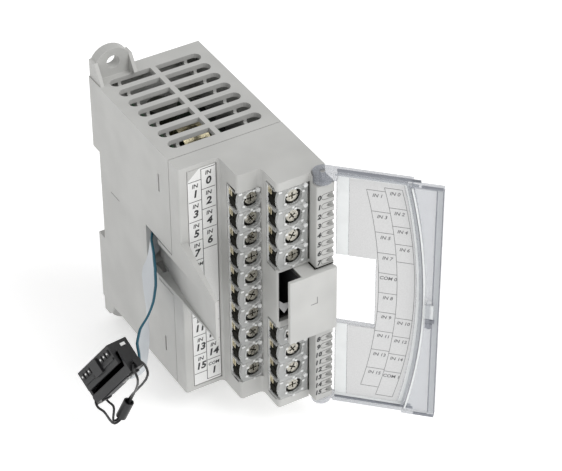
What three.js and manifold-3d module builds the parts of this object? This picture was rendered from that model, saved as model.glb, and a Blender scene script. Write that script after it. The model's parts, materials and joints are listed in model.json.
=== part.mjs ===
// Expansion input module for a small programmable controller: a moulded housing 40 mm wide and
// 90 mm high, with a hinged clear door, two rows of screw terminals, a rail latch and a bus ribbon.
//
// Places are given in module coordinates, in millimetres: x from the left face, d forward from the
// back plane, z up from the bottom face. The exported group moves them to the part's own frame,
// whose origin is the centre of the rail seat, with +X right, +Y to the back and +Z up.
import * as THREE from "three";
import { mergeVertices } from "three/addons/utils/BufferGeometryUtils.js";
import Module from "manifold-3d";

const wasm = await Module();
wasm.setup();

// ---------- driving dimensions ----------
const WIDTH = 40;
const HEIGHT = 90;
const MID_Z = HEIGHT / 2;
const WALL = 1.8;
const GAP = 0.3; // clearance between pieces that touch on the real object
const REACH = 1; // how far a cutting tool runs past the face it cuts

// Fronts of the stepped face, measured forward from the back plane.
const SEAM_D = 53;
const LABEL_D = 59.4;
const OUTER_ROW_D = 71;
const INNER_ROW_D = 80.8;
const LED_D = 85;
const BUS_COVER_D = 87.4;

// Steps between them, measured from the left face.
const OUTER_ROW_X = 13.9;
const INNER_ROW_X = 22.1;
const LED_X = 33.5;

// Rail seat and mounting ears.
const SEAT_D = 4.3;
const RAIL_HALF = 17.75;
const EAR_X = 7.2;
const EAR_RADIUS = 6.8;
const EAR_RISE = 10;
const EAR_THICK = 3.6;
const EAR_HOLE_RISE = 5;
const EAR_HOLE_RADIUS = 2.3;

// Terminals.
const PITCH = 7.62;
const OUTER_SCREW_X = 19.05;
const INNER_SCREW_X = 27.9;
const SCREW_RECESS = 1.5; // top of the screw head below the front of its row
const HEAD_RADIUS = 2.4;
const HEAD_THICK = 1.8;
const SHANK_RADIUS = 1.5;
const SHANK_LENGTH = 1.6;
const WASHER_RADIUS = 2.85;
const WASHER_THICK = 0.8;
const GUARD_THICK = 1.2;
const GUARD_HOLE_RADIUS = 3.05;
const ENTRY_RADIUS = 2.3;
const OUTER_FLOOR_D = 64.2;
const INNER_FLOOR_D = 74;
const OUTER_ROWS = 10;
const INNER_SLOTS = 11;
const INNER_GAP_FIRST = 4; // the three middle places of the inner row make room for the bus socket
const INNER_GAP_LAST = 6;

// Door and its hinge.
const HINGE_X = 37;
const HINGE_D = 82.6;
const DOOR_OPEN_DEG = 135.8;
const DOOR_OVERHANG = 0.8; // the door's rims stand past the housing's top and bottom faces
const KNUCKLE_RADIUS = 3.1;
const PIN_RADIUS = 0.75;
const PIN_HOLE_RADIUS = 1.1;
const PIN_UPPER_Z = 84.4; // bottom of the upper pin
const PIN_LOWER_Z = 2.5; // top of the lower pin

// Ribbon guide: an arm of the front cover that stands forward of the label face.
const ARM_D = 80.8;
const ARM_LOW_Z = 38.1;
const ARM_HIGH_Z = 61.7;
const ARM_TIP_Z = 53.6;
const TONGUE_D = 43.6;

// Label plate on the left of the front.
const LABEL_X0 = 3.2;
const LABEL_X1 = 13;
const LABEL_LOW_Z = 1.9;
const LABEL_HIGH_Z = 88;

// Rail latch, which slides in the lower back of the housing.
const LATCH_X = 25;
const LATCH_HALF = 5;
const LATCH_TAB_Z = -6; // the pull tab stands this far below the housing
const SPRING_SLOT_HALF = 2.4;
const SPRING_LOW_Z = 7.3;
const SPRING_HIGH_Z = 21.3;

// Bus socket, its cover, and the vents.
const BUS_LOW_Z = 31.4;
const BUS_HIGH_Z = 55.8;
const SOCKET_X0 = 22.9;
const SOCKET_X1 = 27.5;
const SOCKET_WALL = 0.7;
const SOCKET_LOW_Z = 36.3;
const SOCKET_HIGH_Z = 55.4;
const LAMP_X = 36.3; // left end of the scoop in front of each lamp
const SCOOP_RADIUS = 1.05;
const LAMP_FLOOR_D = 81.8; // the space behind the lamp strip reaches forward to here
const LAMPS_LOW_Z = 3.4;
const LAMPS_HIGH_Z = 82;
const VENT_ROWS = 7;
const VENT_PITCH = 6.45;
const VENT_FIRST_D = 7.9;
const VENT_HALF = 2.15;
const VENT_INSET_X = 3.7;
const VENT_RIB_HALF = 0.95;

// ---------- materials ----------
const material = (color, roughness, metalness = 0) =>
  new THREE.MeshStandardMaterial({ color, roughness, metalness });
const clear = (color, roughness, opacity) =>
  new THREE.MeshStandardMaterial({ color, roughness, transparent: true, opacity });

const housingGrey = material(0xb9b9b6, 0.55);
const guardClear = clear(0xdfe3e4, 0.15, 0.45);
const doorClear = clear(0xe8edf2, 0.08, 0.3);
const terminalGrey = material(0x8d8f8c, 0.6);
const labelWhite = material(0xe9e9e6, 0.5);
const labelGrey = material(0xcfcfcd, 0.5);
const nickel = material(0xb8b39c, 0.3, 1);
const steel = material(0x9a9a98, 0.35, 1);
const socketBlack = material(0x1a1b1c, 0.5);
const boardGreen = material(0x3c5a34, 0.5);
const copper = material(0xa5623a, 0.4, 1);
const capacitorBlue = material(0x2d3f5e, 0.4);
const ribbonWhite = material(0xe4e5e8, 0.45);
const cordBlack = material(0x151515, 0.7);

// ---------- solids ----------
function toSolid(geometry) {
  const bare = geometry.index ? geometry.toNonIndexed() : geometry;
  bare.deleteAttribute("normal");
  bare.deleteAttribute("uv");
  const merged = mergeVertices(bare, 1e-4);
  const mesh = new wasm.Mesh({
    numProp: 3,
    vertProperties: new Float32Array(merged.attributes.position.array),
    triVerts: new Uint32Array(merged.index.array),
  });
  return new wasm.Manifold(mesh);
}

function toGeometry(solid) {
  const mesh = solid.getMesh();
  const geometry = new THREE.BufferGeometry();
  geometry.setAttribute("position", new THREE.BufferAttribute(new Float32Array(mesh.vertProperties), 3));
  geometry.setIndex(new THREE.BufferAttribute(new Uint32Array(mesh.triVerts), 1));
  geometry.computeVertexNormals();
  return geometry;
}

// A rectangular block between two corners in module coordinates.
function block(x0, x1, d0, d1, z0, z1) {
  const geometry = new THREE.BoxGeometry(x1 - x0, d1 - d0, z1 - z0);
  geometry.translate((x0 + x1) / 2, -(d0 + d1) / 2, (z0 + z1) / 2);
  return toSolid(geometry);
}

// An outline in (x, d), or a THREE.Shape in (x, -d), standing from z0 up to z1.
function upright(outline, z0, z1, curveSegments = 4) {
  const shape = outline instanceof THREE.Shape ? outline : polygon(outline.map(([x, d]) => [x, -d]));
  const geometry = new THREE.ExtrudeGeometry(shape, { depth: z1 - z0, bevelEnabled: false, curveSegments });
  geometry.translate(0, 0, z0);
  return toSolid(geometry);
}

// An outline in (d, z) running across from x0 to x1.
function across(outline, x0, x1) {
  const geometry = new THREE.ExtrudeGeometry(polygon(outline), { depth: x1 - x0, bevelEnabled: false });
  const turn = new THREE.Matrix4().set(0, 0, -1, x1, -1, 0, 0, 0, 0, 1, 0, 0, 0, 0, 0, 1);
  geometry.applyMatrix4(turn);
  return toSolid(geometry);
}

// An outline or shape in (x, z) running forward from d0 to d1.
function forward(outline, d0, d1, curveSegments = 6) {
  const shape = outline instanceof THREE.Shape ? outline : polygon(outline);
  const geometry = new THREE.ExtrudeGeometry(shape, { depth: d1 - d0, bevelEnabled: false, curveSegments });
  const turn = new THREE.Matrix4().set(1, 0, 0, 0, 0, 0, -1, -d0, 0, 1, 0, 0, 0, 0, 0, 1);
  geometry.applyMatrix4(turn);
  return toSolid(geometry);
}

function polygon(points) {
  return new THREE.Shape(points.map(([u, v]) => new THREE.Vector2(u, v)));
}

// A closed outline whose corners [u, v, radius] are rounded off where a radius is given.
function roundedPolygon(corners) {
  const shape = new THREE.Shape();
  const count = corners.length;
  corners.forEach(([u, v, radius = 0], index) => {
    const here = new THREE.Vector2(u, v);
    const before = new THREE.Vector2(...corners[(index + count - 1) % count].slice(0, 2));
    const after = new THREE.Vector2(...corners[(index + 1) % count].slice(0, 2));
    const start = here.clone().add(before.sub(here).setLength(radius));
    const end = here.clone().add(after.sub(here).setLength(radius));
    if (index === 0) shape.moveTo(start.x, start.y);
    else shape.lineTo(start.x, start.y);
    if (radius > 0) shape.quadraticCurveTo(u, v, end.x, end.y);
  });
  shape.closePath();
  return shape;
}

// A round bar along "x", "d" or "z", from one coordinate to another, about the point given by
// the two coordinates that are left, in the order x, d, z.
function bar(axis, from, to, first, second, radius, sides = 16) {
  const geometry = new THREE.CylinderGeometry(radius, radius, to - from, sides);
  const middle = (from + to) / 2;
  if (axis === "z") geometry.rotateX(Math.PI / 2).translate(first, -second, middle);
  if (axis === "d") geometry.translate(first, -middle, second);
  if (axis === "x") geometry.rotateZ(Math.PI / 2).translate(middle, -first, second);
  return toSolid(geometry);
}

const joined = (solids) => solids.reduce((whole, piece) => whole.add(piece));

// ---------- the group ----------
const module = new THREE.Group();
module.position.set(-WIDTH / 2, SEAT_D, -MID_Z);

function addPiece(name, solid, look, parent = module) {
  const mesh = new THREE.Mesh(toGeometry(solid), look);
  mesh.name = name;
  parent.add(mesh);
  return mesh;
}

// ---------- rear housing ----------
function railProfile(inset) {
  const low = MID_Z - RAIL_HALF - inset;
  const high = MID_Z + RAIL_HALF + inset;
  const front = inset > 0 ? SEAM_D + REACH : SEAM_D;
  return [
    [inset, inset], [front, inset], [front, HEIGHT - inset], [inset, HEIGHT - inset],
    [inset, high], [SEAT_D + inset, high], [SEAT_D + inset, low], [inset, low],
  ];
}

// One row of the vent grille: a slot with a round outer end on each side of the middle rib.
function ventSlots(z0, z1) {
  const slots = [];
  for (let row = 0; row < VENT_ROWS; row += 1) {
    const d = VENT_FIRST_D + row * VENT_PITCH;
    for (const side of [-1, 1]) {
      const inner = WIDTH / 2 + side * VENT_RIB_HALF;
      const outer = WIDTH / 2 + side * (WIDTH / 2 - VENT_INSET_X - VENT_HALF);
      const [x0, x1] = [Math.min(inner, outer), Math.max(inner, outer)];
      slots.push(block(x0, x1, d - VENT_HALF, d + VENT_HALF, z0, z1));
      slots.push(bar("z", z0, z1, outer, d, VENT_HALF));
    }
  }
  return joined(slots);
}

// A mounting ear above (sign 1) or below (sign -1) the housing, with a gusset on each side.
function ear(sign) {
  const root = sign > 0 ? HEIGHT : 0;
  const centre = root + sign * (EAR_RISE - EAR_RADIUS);
  const buried = root - sign * WALL;
  const [left, right] = [EAR_X - EAR_RADIUS, EAR_X + EAR_RADIUS];
  const gusset = [
    [0, buried], [9, buried], [8, root], [EAR_THICK, root + sign * 6.4], [0, root + sign * 6.4],
  ];
  const outline = sign > 0 ? gusset : gusset.slice().reverse();
  const plate = block(left, right, 0, EAR_THICK, Math.min(buried, centre), Math.max(buried, centre));
  const arch = bar("d", 0, EAR_THICK, EAR_X, centre, EAR_RADIUS, 28);
  return joined([plate, arch, across(outline, left, left + 1.3), across(outline, right - 1.3, right)]);
}

function rearHousing() {
  const shell = across(railProfile(0), 0, WIDTH);
  const hollow = across(railProfile(WALL), WALL, WIDTH - WALL);
  const ventRibs = [8, WIDTH - 8].map((x) =>
    block(x - 0.6, x + 0.6, WALL, SEAM_D - 1.5, HEIGHT - 4, HEIGHT - WALL + 0.1));
  const holes = [1, -1].map((sign) => {
    const z = (sign > 0 ? HEIGHT : 0) + sign * EAR_HOLE_RISE;
    return bar("d", -REACH, EAR_THICK + REACH, EAR_X, z, EAR_HOLE_RADIUS, 24);
  });
  const snapSlits = [[73.6, 80.3], [8.9, 14.9]].flatMap(([z0, z1]) => [
    block(-REACH, WALL + REACH, 45.7, 46.5, z0, z1),
    block(WIDTH - WALL - REACH, WIDTH + REACH, 45.7, 46.5, z0, z1),
  ]);
  const ribbonSlot = across([[35.6, 38.8], [TONGUE_D - GAP, 38.8], [TONGUE_D - GAP, 36.9],
    [SEAM_D + REACH, 36.9], [SEAM_D + REACH, 53.4], [35.6, 53.8]], -REACH, WALL + REACH);
  const [latchLeft, latchRight] = [LATCH_X - LATCH_HALF - GAP, LATCH_X + LATCH_HALF + GAP];
  const latchSlot = block(latchLeft, latchRight, 1, 5, -REACH, MID_Z - RAIL_HALF + REACH);
  const latchMouth = block(latchLeft, latchRight, -REACH, 5.2, -REACH, 9);
  const latchFloor = block(latchLeft - 2, latchRight + 2, 0, 7.4, 0, MID_Z - RAIL_HALF);
  const springStop = block(LATCH_X - SPRING_SLOT_HALF + GAP, LATCH_X + SPRING_SLOT_HALF - GAP, 1.4, 6,
    SPRING_LOW_Z - 2, SPRING_LOW_Z - GAP);
  return joined([shell.subtract(hollow), ...ventRibs, ear(1), ear(-1), latchFloor])
    .subtract(joined([...holes, ...snapSlits, ribbonSlot, latchSlot, latchMouth]))
    .subtract(ventSlots(HEIGHT - WALL - REACH, HEIGHT + REACH))
    .subtract(ventSlots(-REACH, WALL + REACH)
      .subtract(block(latchLeft - 3, latchRight + 3, 0, 11, -2 * REACH, WALL + 2 * REACH)))
    .add(springStop);
}

// ---------- front cover ----------
// The stepped outline seen from above, as a THREE.Shape in (x, -d).
function steppedOutline() {
  const corners = [
    [0, SEAM_D + GAP], [0, LABEL_D, 0.8], [OUTER_ROW_X, LABEL_D, 1.6], [OUTER_ROW_X, OUTER_ROW_D, 1.2],
    [INNER_ROW_X, OUTER_ROW_D, 1.6], [INNER_ROW_X, INNER_ROW_D, 1.2], [LED_X, INNER_ROW_D, 0.4],
    [LED_X, LED_D, 0.6], [WIDTH, LED_D, 0.6], [WIDTH, SEAM_D + GAP],
  ];
  return roundedPolygon(corners.map(([x, d, radius]) => [x, -d, radius]));
}

// The ribbon's guide on the left face: a sloping floor that starts deep at the slot and comes out
// flush at the front of the arm, with a lip under it.
function ribbonGuide() {
  const floorFront = [0, ARM_D - 0.3];
  const floorMiddle = [1.2, 60];
  const floorBend = [3, 47];
  const floorBack = [4.6, 37.6];
  const arm = upright([[0, LABEL_D - 5], [0, ARM_D], [1, ARM_D], [2.3, LABEL_D], [3.6, LABEL_D - 5]],
    ARM_LOW_Z, ARM_HIGH_Z);
  const slope = across([[LABEL_D - 6, ARM_HIGH_Z + REACH], [LABEL_D - 6, ARM_HIGH_Z], [LABEL_D, ARM_HIGH_Z],
    [ARM_D, ARM_TIP_Z], [ARM_D + REACH, ARM_TIP_Z - 0.4], [ARM_D + REACH, ARM_HIGH_Z + REACH]], -REACH, 6);
  const tongue = upright([[0, TONGUE_D], [0, LABEL_D - 1], [3.6, LABEL_D - 1], [4.3, 47.3], [5.9, 38],
    floorBack, [3.1, TONGUE_D]], 37.2, 53.1);
  const channel = upright([[-REACH, 34], [4.9, 34], floorBack, floorBend, floorMiddle, floorFront,
    [-REACH, ARM_D - 0.3]], 38.9, 51.4);
  return { body: joined([arm.subtract(slope), tongue]), channel };
}

function frontCover() {
  const skin = upright(steppedOutline(), 0, HEIGHT);
  const [right, ledLeft, behindLeds] = [WIDTH - WALL, LED_X + WALL, INNER_FLOOR_D - 2 * WALL];
  const hollows = joined([
    block(WALL, right, SEAM_D - REACH, LABEL_D - WALL, WALL, HEIGHT - WALL),
    block(OUTER_ROW_X + WALL, right, LABEL_D - 2 * WALL, OUTER_FLOOR_D - WALL, WALL, HEIGHT - WALL),
    block(INNER_ROW_X + WALL, right, OUTER_FLOOR_D - 2 * WALL, INNER_FLOOR_D - WALL, WALL, HEIGHT - WALL),
    block(ledLeft, right, behindLeds, LAMP_FLOOR_D, LAMPS_LOW_Z, SOCKET_LOW_Z - GAP - WALL),
    block(ledLeft, right, behindLeds, LAMP_FLOOR_D, BUS_HIGH_Z + WALL, LAMPS_HIGH_Z),
  ]);
  const outerWell = block(OUTER_ROW_X - REACH, INNER_ROW_X, OUTER_FLOOR_D, OUTER_ROW_D + REACH,
    rowEdge(OUTER_ROWS, -1), rowEdge(OUTER_ROWS, 1));
  const innerWells = [[0, INNER_GAP_FIRST - 1], [INNER_GAP_LAST + 1, INNER_SLOTS - 1]].map(([first, last]) =>
    block(INNER_ROW_X - REACH, LED_X - 0.4, INNER_FLOOR_D, INNER_ROW_D + REACH,
      rowHeight(INNER_SLOTS, last) - PITCH / 2, rowHeight(INNER_SLOTS, first) + PITCH / 2));
  const socketWell = block(SOCKET_X0 - GAP, SOCKET_X1 + GAP, LABEL_D - 4, INNER_ROW_D + REACH,
    SOCKET_LOW_Z - GAP, SOCKET_HIGH_Z + GAP);
  const coverSeat = block(SOCKET_X1, WIDTH + REACH, INNER_ROW_D - 1.3, LED_D + REACH,
    SOCKET_LOW_Z - GAP, SOCKET_HIGH_Z + GAP);
  const labelBed = block(LABEL_X0 - GAP, LABEL_X1 + GAP, LABEL_D - 0.9, LABEL_D + REACH,
    LABEL_LOW_Z - GAP, LABEL_HIGH_Z + GAP);
  const hingeSockets = [
    joined([
      bar("z", 86.9, HEIGHT + REACH, HINGE_X, HINGE_D, KNUCKLE_RADIUS + 0.4, 28),
      block(LED_X - 0.1, WIDTH + REACH, HINGE_D, LED_D + REACH, 86.9, HEIGHT + REACH),
      block(HINGE_X, WIDTH + REACH, HINGE_D - KNUCKLE_RADIUS - 0.4, LED_D + REACH, 86.9, HEIGHT + REACH),
      bar("z", PIN_UPPER_Z - GAP, HEIGHT, HINGE_X, HINGE_D, PIN_RADIUS + GAP, 12),
    ]),
    joined([
      block(LED_X - 0.1, WIDTH + REACH, HINGE_D - KNUCKLE_RADIUS - 0.4, LED_D + REACH, -REACH, 1),
      bar("z", 0, PIN_LOWER_Z + GAP, HINGE_X, HINGE_D, PIN_RADIUS + GAP, 12),
    ]),
  ];
  const { body, channel } = ribbonGuide();
  const cuts = [outerWell, ...innerWells, socketWell, coverSeat, labelBed, channel, ...hingeSockets];
  return skin.subtract(hollows).add(body).subtract(joined([...cuts, ...lampScoops()]));
}

const lampHeights = () => [
  ...Array.from({ length: 8 }, (_, i) => 82.6 - i * 3.56),
  ...Array.from({ length: 8 }, (_, i) => 26.6 - i * 3.2),
];

// Each lamp shines along a scoop that is deep at its round left end and shallow at the right edge.
function lampScoops() {
  return lampHeights().map((z) => {
    const geometry = new THREE.CapsuleGeometry(SCOOP_RADIUS, 5, 3, 10);
    geometry.rotateZ(Math.PI / 2).translate(2.5, 0, 0).rotateZ(-0.28);
    return toSolid(geometry.translate(LAMP_X + SCOOP_RADIUS, -LED_D + 1, z));
  });
}

// ---------- terminal rows ----------
function rowEdge(count, sign) {
  return MID_Z + sign * (count * PITCH) / 2;
}

const rowHeight = (count, index) => MID_Z + PITCH * ((count - 1) / 2 - index);

// Heights of the screws in a row, from the top.
function screwHeights(count, first, last) {
  return Array.from({ length: last - first + 1 }, (_, i) => rowHeight(count, first + i));
}

// The moulded block that holds the contacts: a wire pocket open to the left and a screw well in
// front of it, for every screw.
function terminalBlock(x0, x1, screwX, floorD, frontD, heights) {
  const top = heights[0] + PITCH / 2 - GAP;
  const low = heights.at(-1) - PITCH / 2 + GAP;
  const faceD = frontD - GUARD_THICK - GAP;
  const pockets = heights.flatMap((z) => [
    block(x0 + 2, screwX + 3.2, floorD + 1.6, faceD - 1.6, z - 2.9, z + 2.9),
    block(x0 - REACH, screwX, floorD + 1.6, faceD - 1.6, z - 2.2, z + 2.2),
    block(screwX - 3.1, screwX + 3.1, faceD - 3.1, faceD + REACH, z - 3.1, z + 3.1),
  ]);
  return block(x0 + GUARD_THICK + GAP, x1, floorD + GAP, faceD, low, top).subtract(joined(pockets));
}

// The clear finger guard: a front plate with a hole over every screw and a side wall with an
// eight-sided wire entry for every clamp.
function fingerGuard(x0, x1, screwX, floorD, frontD, heights) {
  const top = heights[0] + PITCH / 2 - GAP;
  const low = heights.at(-1) - PITCH / 2 + GAP;
  const midD = (floorD + frontD - GUARD_THICK) / 2;
  const plate = block(x0, x1, frontD - GUARD_THICK, frontD, low, top);
  const side = block(x0, x0 + GUARD_THICK, floorD + GAP, frontD, low, top);
  const cuts = heights.flatMap((z) => [
    bar("d", frontD - 2 * GUARD_THICK, frontD + REACH, screwX, z, GUARD_HOLE_RADIUS, 20),
    bar("x", x0 - REACH, x0 + GUARD_THICK + REACH, midD, z - 0.4, ENTRY_RADIUS, 8),
  ]);
  return plate.add(side).subtract(joined(cuts));
}

// A clamping screw with its captive washer, drawn head up about the origin.
function terminalScrew() {
  const tip = -HEAD_THICK - SHANK_LENGTH;
  const underWasher = -HEAD_THICK - WASHER_THICK;
  const profile = [[0, tip], [SHANK_RADIUS, tip], [SHANK_RADIUS, underWasher], [WASHER_RADIUS, underWasher],
    [WASHER_RADIUS, -HEAD_THICK], [HEAD_RADIUS, -HEAD_THICK], [HEAD_RADIUS, -0.5], [HEAD_RADIUS - 0.6, 0],
    [0, 0]];
  const turned = new THREE.LatheGeometry(profile.map(([r, y]) => new THREE.Vector2(r, y)), 16);
  const cross = [[HEAD_RADIUS + 1, 0.35], [0.35, 1.5]].map(([halfX, halfZ]) => {
    const slot = new THREE.BoxGeometry(2 * halfX, 2, 2 * halfZ);
    slot.translate(0, 0.25, 0);
    return toSolid(slot);
  });
  return toSolid(turned).subtract(joined(cross));
}

// ---------- bus socket and its cover ----------
function busSocket() {
  const body = block(SOCKET_X0, SOCKET_X1, LABEL_D - 2, INNER_ROW_D - 1.3, SOCKET_LOW_Z, SOCKET_HIGH_Z);
  const mouth = block(SOCKET_X0 + SOCKET_WALL, SOCKET_X1 - SOCKET_WALL, INNER_ROW_D - 9, INNER_ROW_D,
    SOCKET_LOW_Z + SOCKET_WALL, SOCKET_HIGH_Z - SOCKET_WALL);
  const tallWall = block(SOCKET_X1 - SOCKET_WALL, SOCKET_X1, INNER_ROW_D - 9, BUS_COVER_D - 1.8,
    SOCKET_LOW_Z, SOCKET_HIGH_Z);
  return body.subtract(mouth).add(tallWall);
}

function busCover() {
  const backD = INNER_ROW_D - 1;
  const frontWall = BUS_COVER_D - 1.4;
  const plate = block(SOCKET_X0 - 0.2, WIDTH - GAP, frontWall, BUS_COVER_D, BUS_LOW_Z, BUS_HIGH_Z);
  const box = block(SOCKET_X1 + GAP, WIDTH - GAP, backD, BUS_COVER_D - 0.5, SOCKET_LOW_Z, SOCKET_HIGH_Z);
  const hollow = block(SOCKET_X1 + GAP + 1.4, WIDTH - GAP - 1.4, backD - REACH, frontWall,
    SOCKET_LOW_Z + 1.4, SOCKET_HIGH_Z - 1.4);
  return plate.add(box).subtract(hollow);
}

// ---------- door ----------
// The door is drawn closed, about its own hinge axis: x runs right from the axis, d forward of it.
const DOOR_EDGE_X = -37.4;
const DOOR_HINGE_EDGE_X = -3.9;
const PANEL_BACK_D = 1.9;
const PANEL_FRONT_D = 3.1;
const STEP_BACK_D = -0.4;
const STEP_FRONT_D = 0.8;
const RIB_MID_X = -32.2; // the curved rib at mid height, where it is furthest from the hinge
const RIB_CURVE_RADIUS = 200;
const WINDOW_X = -16.6;
const WINDOW_LOW_Z = 31;
const WINDOW_HIGH_Z = 58;
const DOOR_LOW_Z = -DOOR_OVERHANG;
const DOOR_HIGH_Z = HEIGHT + DOOR_OVERHANG;

// A door panel in (x, z) from x = right to a curved left side that bows out at mid height.
function bowedPanel(right, middleLeft, low, high, steps = 12) {
  const points = [[right, low], [right, high]];
  for (let i = 0; i <= steps; i += 1) {
    const z = high + ((low - high) * i) / steps;
    const pulled = RIB_CURVE_RADIUS - Math.sqrt(RIB_CURVE_RADIUS ** 2 - (z - MID_Z) ** 2);
    points.push([middleLeft + pulled, z]);
  }
  return points.reverse();
}

function door() {
  const [low, high] = [DOOR_LOW_Z, DOOR_HIGH_Z];
  const insideRib = (offset) => forward(bowedPanel(-10, RIB_MID_X + offset, low - REACH, high + REACH),
    STEP_BACK_D - REACH, PANEL_FRONT_D + REACH);
  const main = forward(bowedPanel(DOOR_HINGE_EDGE_X, RIB_MID_X, low, high), PANEL_BACK_D, PANEL_FRONT_D);
  const rib = forward(bowedPanel(-20, RIB_MID_X, low, high), STEP_BACK_D, PANEL_FRONT_D)
    .subtract(insideRib(1.2));
  const outer = block(DOOR_EDGE_X, -26, STEP_BACK_D, STEP_FRONT_D, low, high).subtract(insideRib(1));
  const edgeRim = block(DOOR_EDGE_X, DOOR_EDGE_X + 2.2, STEP_BACK_D - 0.9, STEP_FRONT_D, low, high);
  const rims = [[low, low + 1], [high - 1, high]].flatMap(([z0, z1]) => [
    block(-27.5, DOOR_HINGE_EDGE_X, STEP_BACK_D, PANEL_FRONT_D, z0, z1),
    block(DOOR_EDGE_X, -26.8, STEP_BACK_D - 0.9, STEP_FRONT_D, z0, z1),
  ]);
  const knuckles = [[low, 0.7], [87.2, high]].flatMap(([z0, z1]) => [
    bar("z", z0, z1, 0, 0, KNUCKLE_RADIUS, 28),
    block(-4.4, 0, 0.2, PANEL_FRONT_D, z0, z1),
  ]);
  const catchHook = block(-35, -33.6, STEP_BACK_D - 3, STEP_BACK_D + 0.1, 38, 47);
  const window = block(WINDOW_X, DOOR_HINGE_EDGE_X + REACH, STEP_BACK_D - REACH, PANEL_FRONT_D + REACH,
    WINDOW_LOW_Z, WINDOW_HIGH_Z);
  const pinHole = bar("z", low - REACH, high + REACH, 0, 0, PIN_HOLE_RADIUS, 12);
  return joined([main, rib, outer, edgeRim, ...rims, ...knuckles, catchHook]).subtract(window.add(pinHole));
}

function doorLabel() {
  const sheet = forward(bowedPanel(-8.2, RIB_MID_X + 2.6, 1.2, HEIGHT - 1.2),
    PANEL_BACK_D - 0.6, PANEL_BACK_D - GAP);
  const window = block(WINDOW_X - 0.4, 0, 0, PANEL_FRONT_D, WINDOW_LOW_Z - 0.6, WINDOW_HIGH_Z + 0.6);
  return sheet.subtract(window);
}

// ---------- rail latch ----------
function railLatch() {
  const slider = block(LATCH_X - LATCH_HALF, LATCH_X + LATCH_HALF, 1.4, 4.2, LATCH_TAB_Z, 26.4);
  const hookOutline = [[1.4, 25], [4.2, 25], [4.2, 26.4], [3, 27.4], [2.6, 29.4], [1.4, 28.4]];
  const hook = across(hookOutline, LATCH_X - LATCH_HALF + 0.5, LATCH_X + LATCH_HALF - 0.5);
  const toolSlot = block(LATCH_X - 2.2, LATCH_X + 2.2, 0, 6, LATCH_TAB_Z + 1.6, LATCH_TAB_Z + 3.4);
  const springSlot = block(LATCH_X - SPRING_SLOT_HALF, LATCH_X + SPRING_SLOT_HALF, 0, 6,
    SPRING_LOW_Z - 2.3, SPRING_HIGH_Z + GAP);
  return slider.add(hook).subtract(toolSlot.add(springSlot));
}

// The latch's return spring, drawn as the sleeve its coils fill.
function latchSpring() {
  const [bore, outer] = [0.7, 1.3];
  const [low, high] = [SPRING_LOW_Z, SPRING_HIGH_Z];
  const profile = [[bore, low], [outer, low], [outer, high], [bore, high], [bore, low]];
  const points = profile.map(([r, z]) => new THREE.Vector2(r, z));
  const sleeve = new THREE.LatheGeometry(points, 14);
  sleeve.rotateX(Math.PI / 2).translate(LATCH_X, -2.8, 0);
  return toSolid(sleeve);
}

// ---------- electronics ----------
function ringCore(x0, x1, d, z, outer, inner) {
  return bar("x", x0, x1, d, z, outer, 26).subtract(bar("x", x0 - REACH, x1 + REACH, d, z, inner, 18));
}

// ---------- ribbon and its connector ----------
// Points along the ribbon's middle, [x, d, z], with the direction of its upper edge after them.
const RIBBON_HALF = 5.9;
const RIBBON_THICK = 0.8;
const RIBBON_ROUTE = [
  [17.7, 28.6, 46.4, 0, 0, 1],
  [11.5, 30.4, 46.5, 0, 0, 1],
  [5.6, 34.0, 46.7, 0, 0, 1],
  [1.4, 37.4, 46.8, 0, 0.05, 1],
  [-1.0, 39.8, 46.6, 0, 0.25, 0.95],
  [-2.7, 42.4, 45.4, 0, 0.62, 0.78],
  [-4.3, 45.2, 42.9, 0.02, 0.77, 0.63],
  [-5.8, 48.3, 39.3, 0, 0.75, 0.66],
  [-7.5, 51.1, 35.9, -0.14, 0.75, 0.65],
  [-9.5, 53.2, 32.6, -0.36, 0.71, 0.6],
  [-11.9, 54.9, 29.3, -0.55, 0.57, 0.6],
  [-13.6, 56.8, 25.9, -0.6, 0.5, 0.6],
  [-14.9, 59.2, 22.6, -0.5, 0.52, 0.66],
  [-16.7, 61.0, 20.2, -0.35, 0.45, 0.78],
  [-19.3, 60.6, 19.5, -0.02, 0.44, 0.88],
  [-22.2, 59.8, 20.1, 0.28, 0.48, 0.83],
  [-26.2, 60.9, 20.9, 0.31, 0.49, 0.81],
];

const place = (x, d, z) => new THREE.Vector3(x, -d, z);

function ribbon() {
  const middles = new THREE.CatmullRomCurve3(RIBBON_ROUTE.map(([x, d, z]) => place(x, d, z)));
  const edges = new THREE.CatmullRomCurve3(RIBBON_ROUTE.map((row) => place(...row.slice(3))));
  const steps = 40;
  const positions = [];
  for (let i = 0; i <= steps; i += 1) {
    const at = i / steps;
    const middle = middles.getPoint(at);
    const along = middles.getTangent(at);
    const edge = edges.getPoint(at);
    edge.addScaledVector(along, -edge.dot(along)).normalize();
    const face = new THREE.Vector3().crossVectors(along, edge);
    for (const [side, out] of [[1, 1], [-1, 1], [-1, -1], [1, -1]]) {
      const corner = middle.clone().addScaledVector(edge, side * RIBBON_HALF);
      positions.push(...corner.addScaledVector(face, (out * RIBBON_THICK) / 2));
    }
  }
  const index = [0, 2, 1, 0, 3, 2];
  for (let i = 0; i < steps; i += 1) {
    for (let k = 0; k < 4; k += 1) {
      const [a, b] = [4 * i + k, 4 * i + ((k + 1) % 4)];
      index.push(a, b, a + 4, b, b + 4, a + 4);
    }
  }
  const last = 4 * steps;
  index.push(last, last + 1, last + 2, last, last + 2, last + 3);
  const geometry = new THREE.BufferGeometry();
  geometry.setAttribute("position", new THREE.Float32BufferAttribute(positions, 3));
  geometry.setIndex(index);
  return toSolid(geometry);
}

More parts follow.
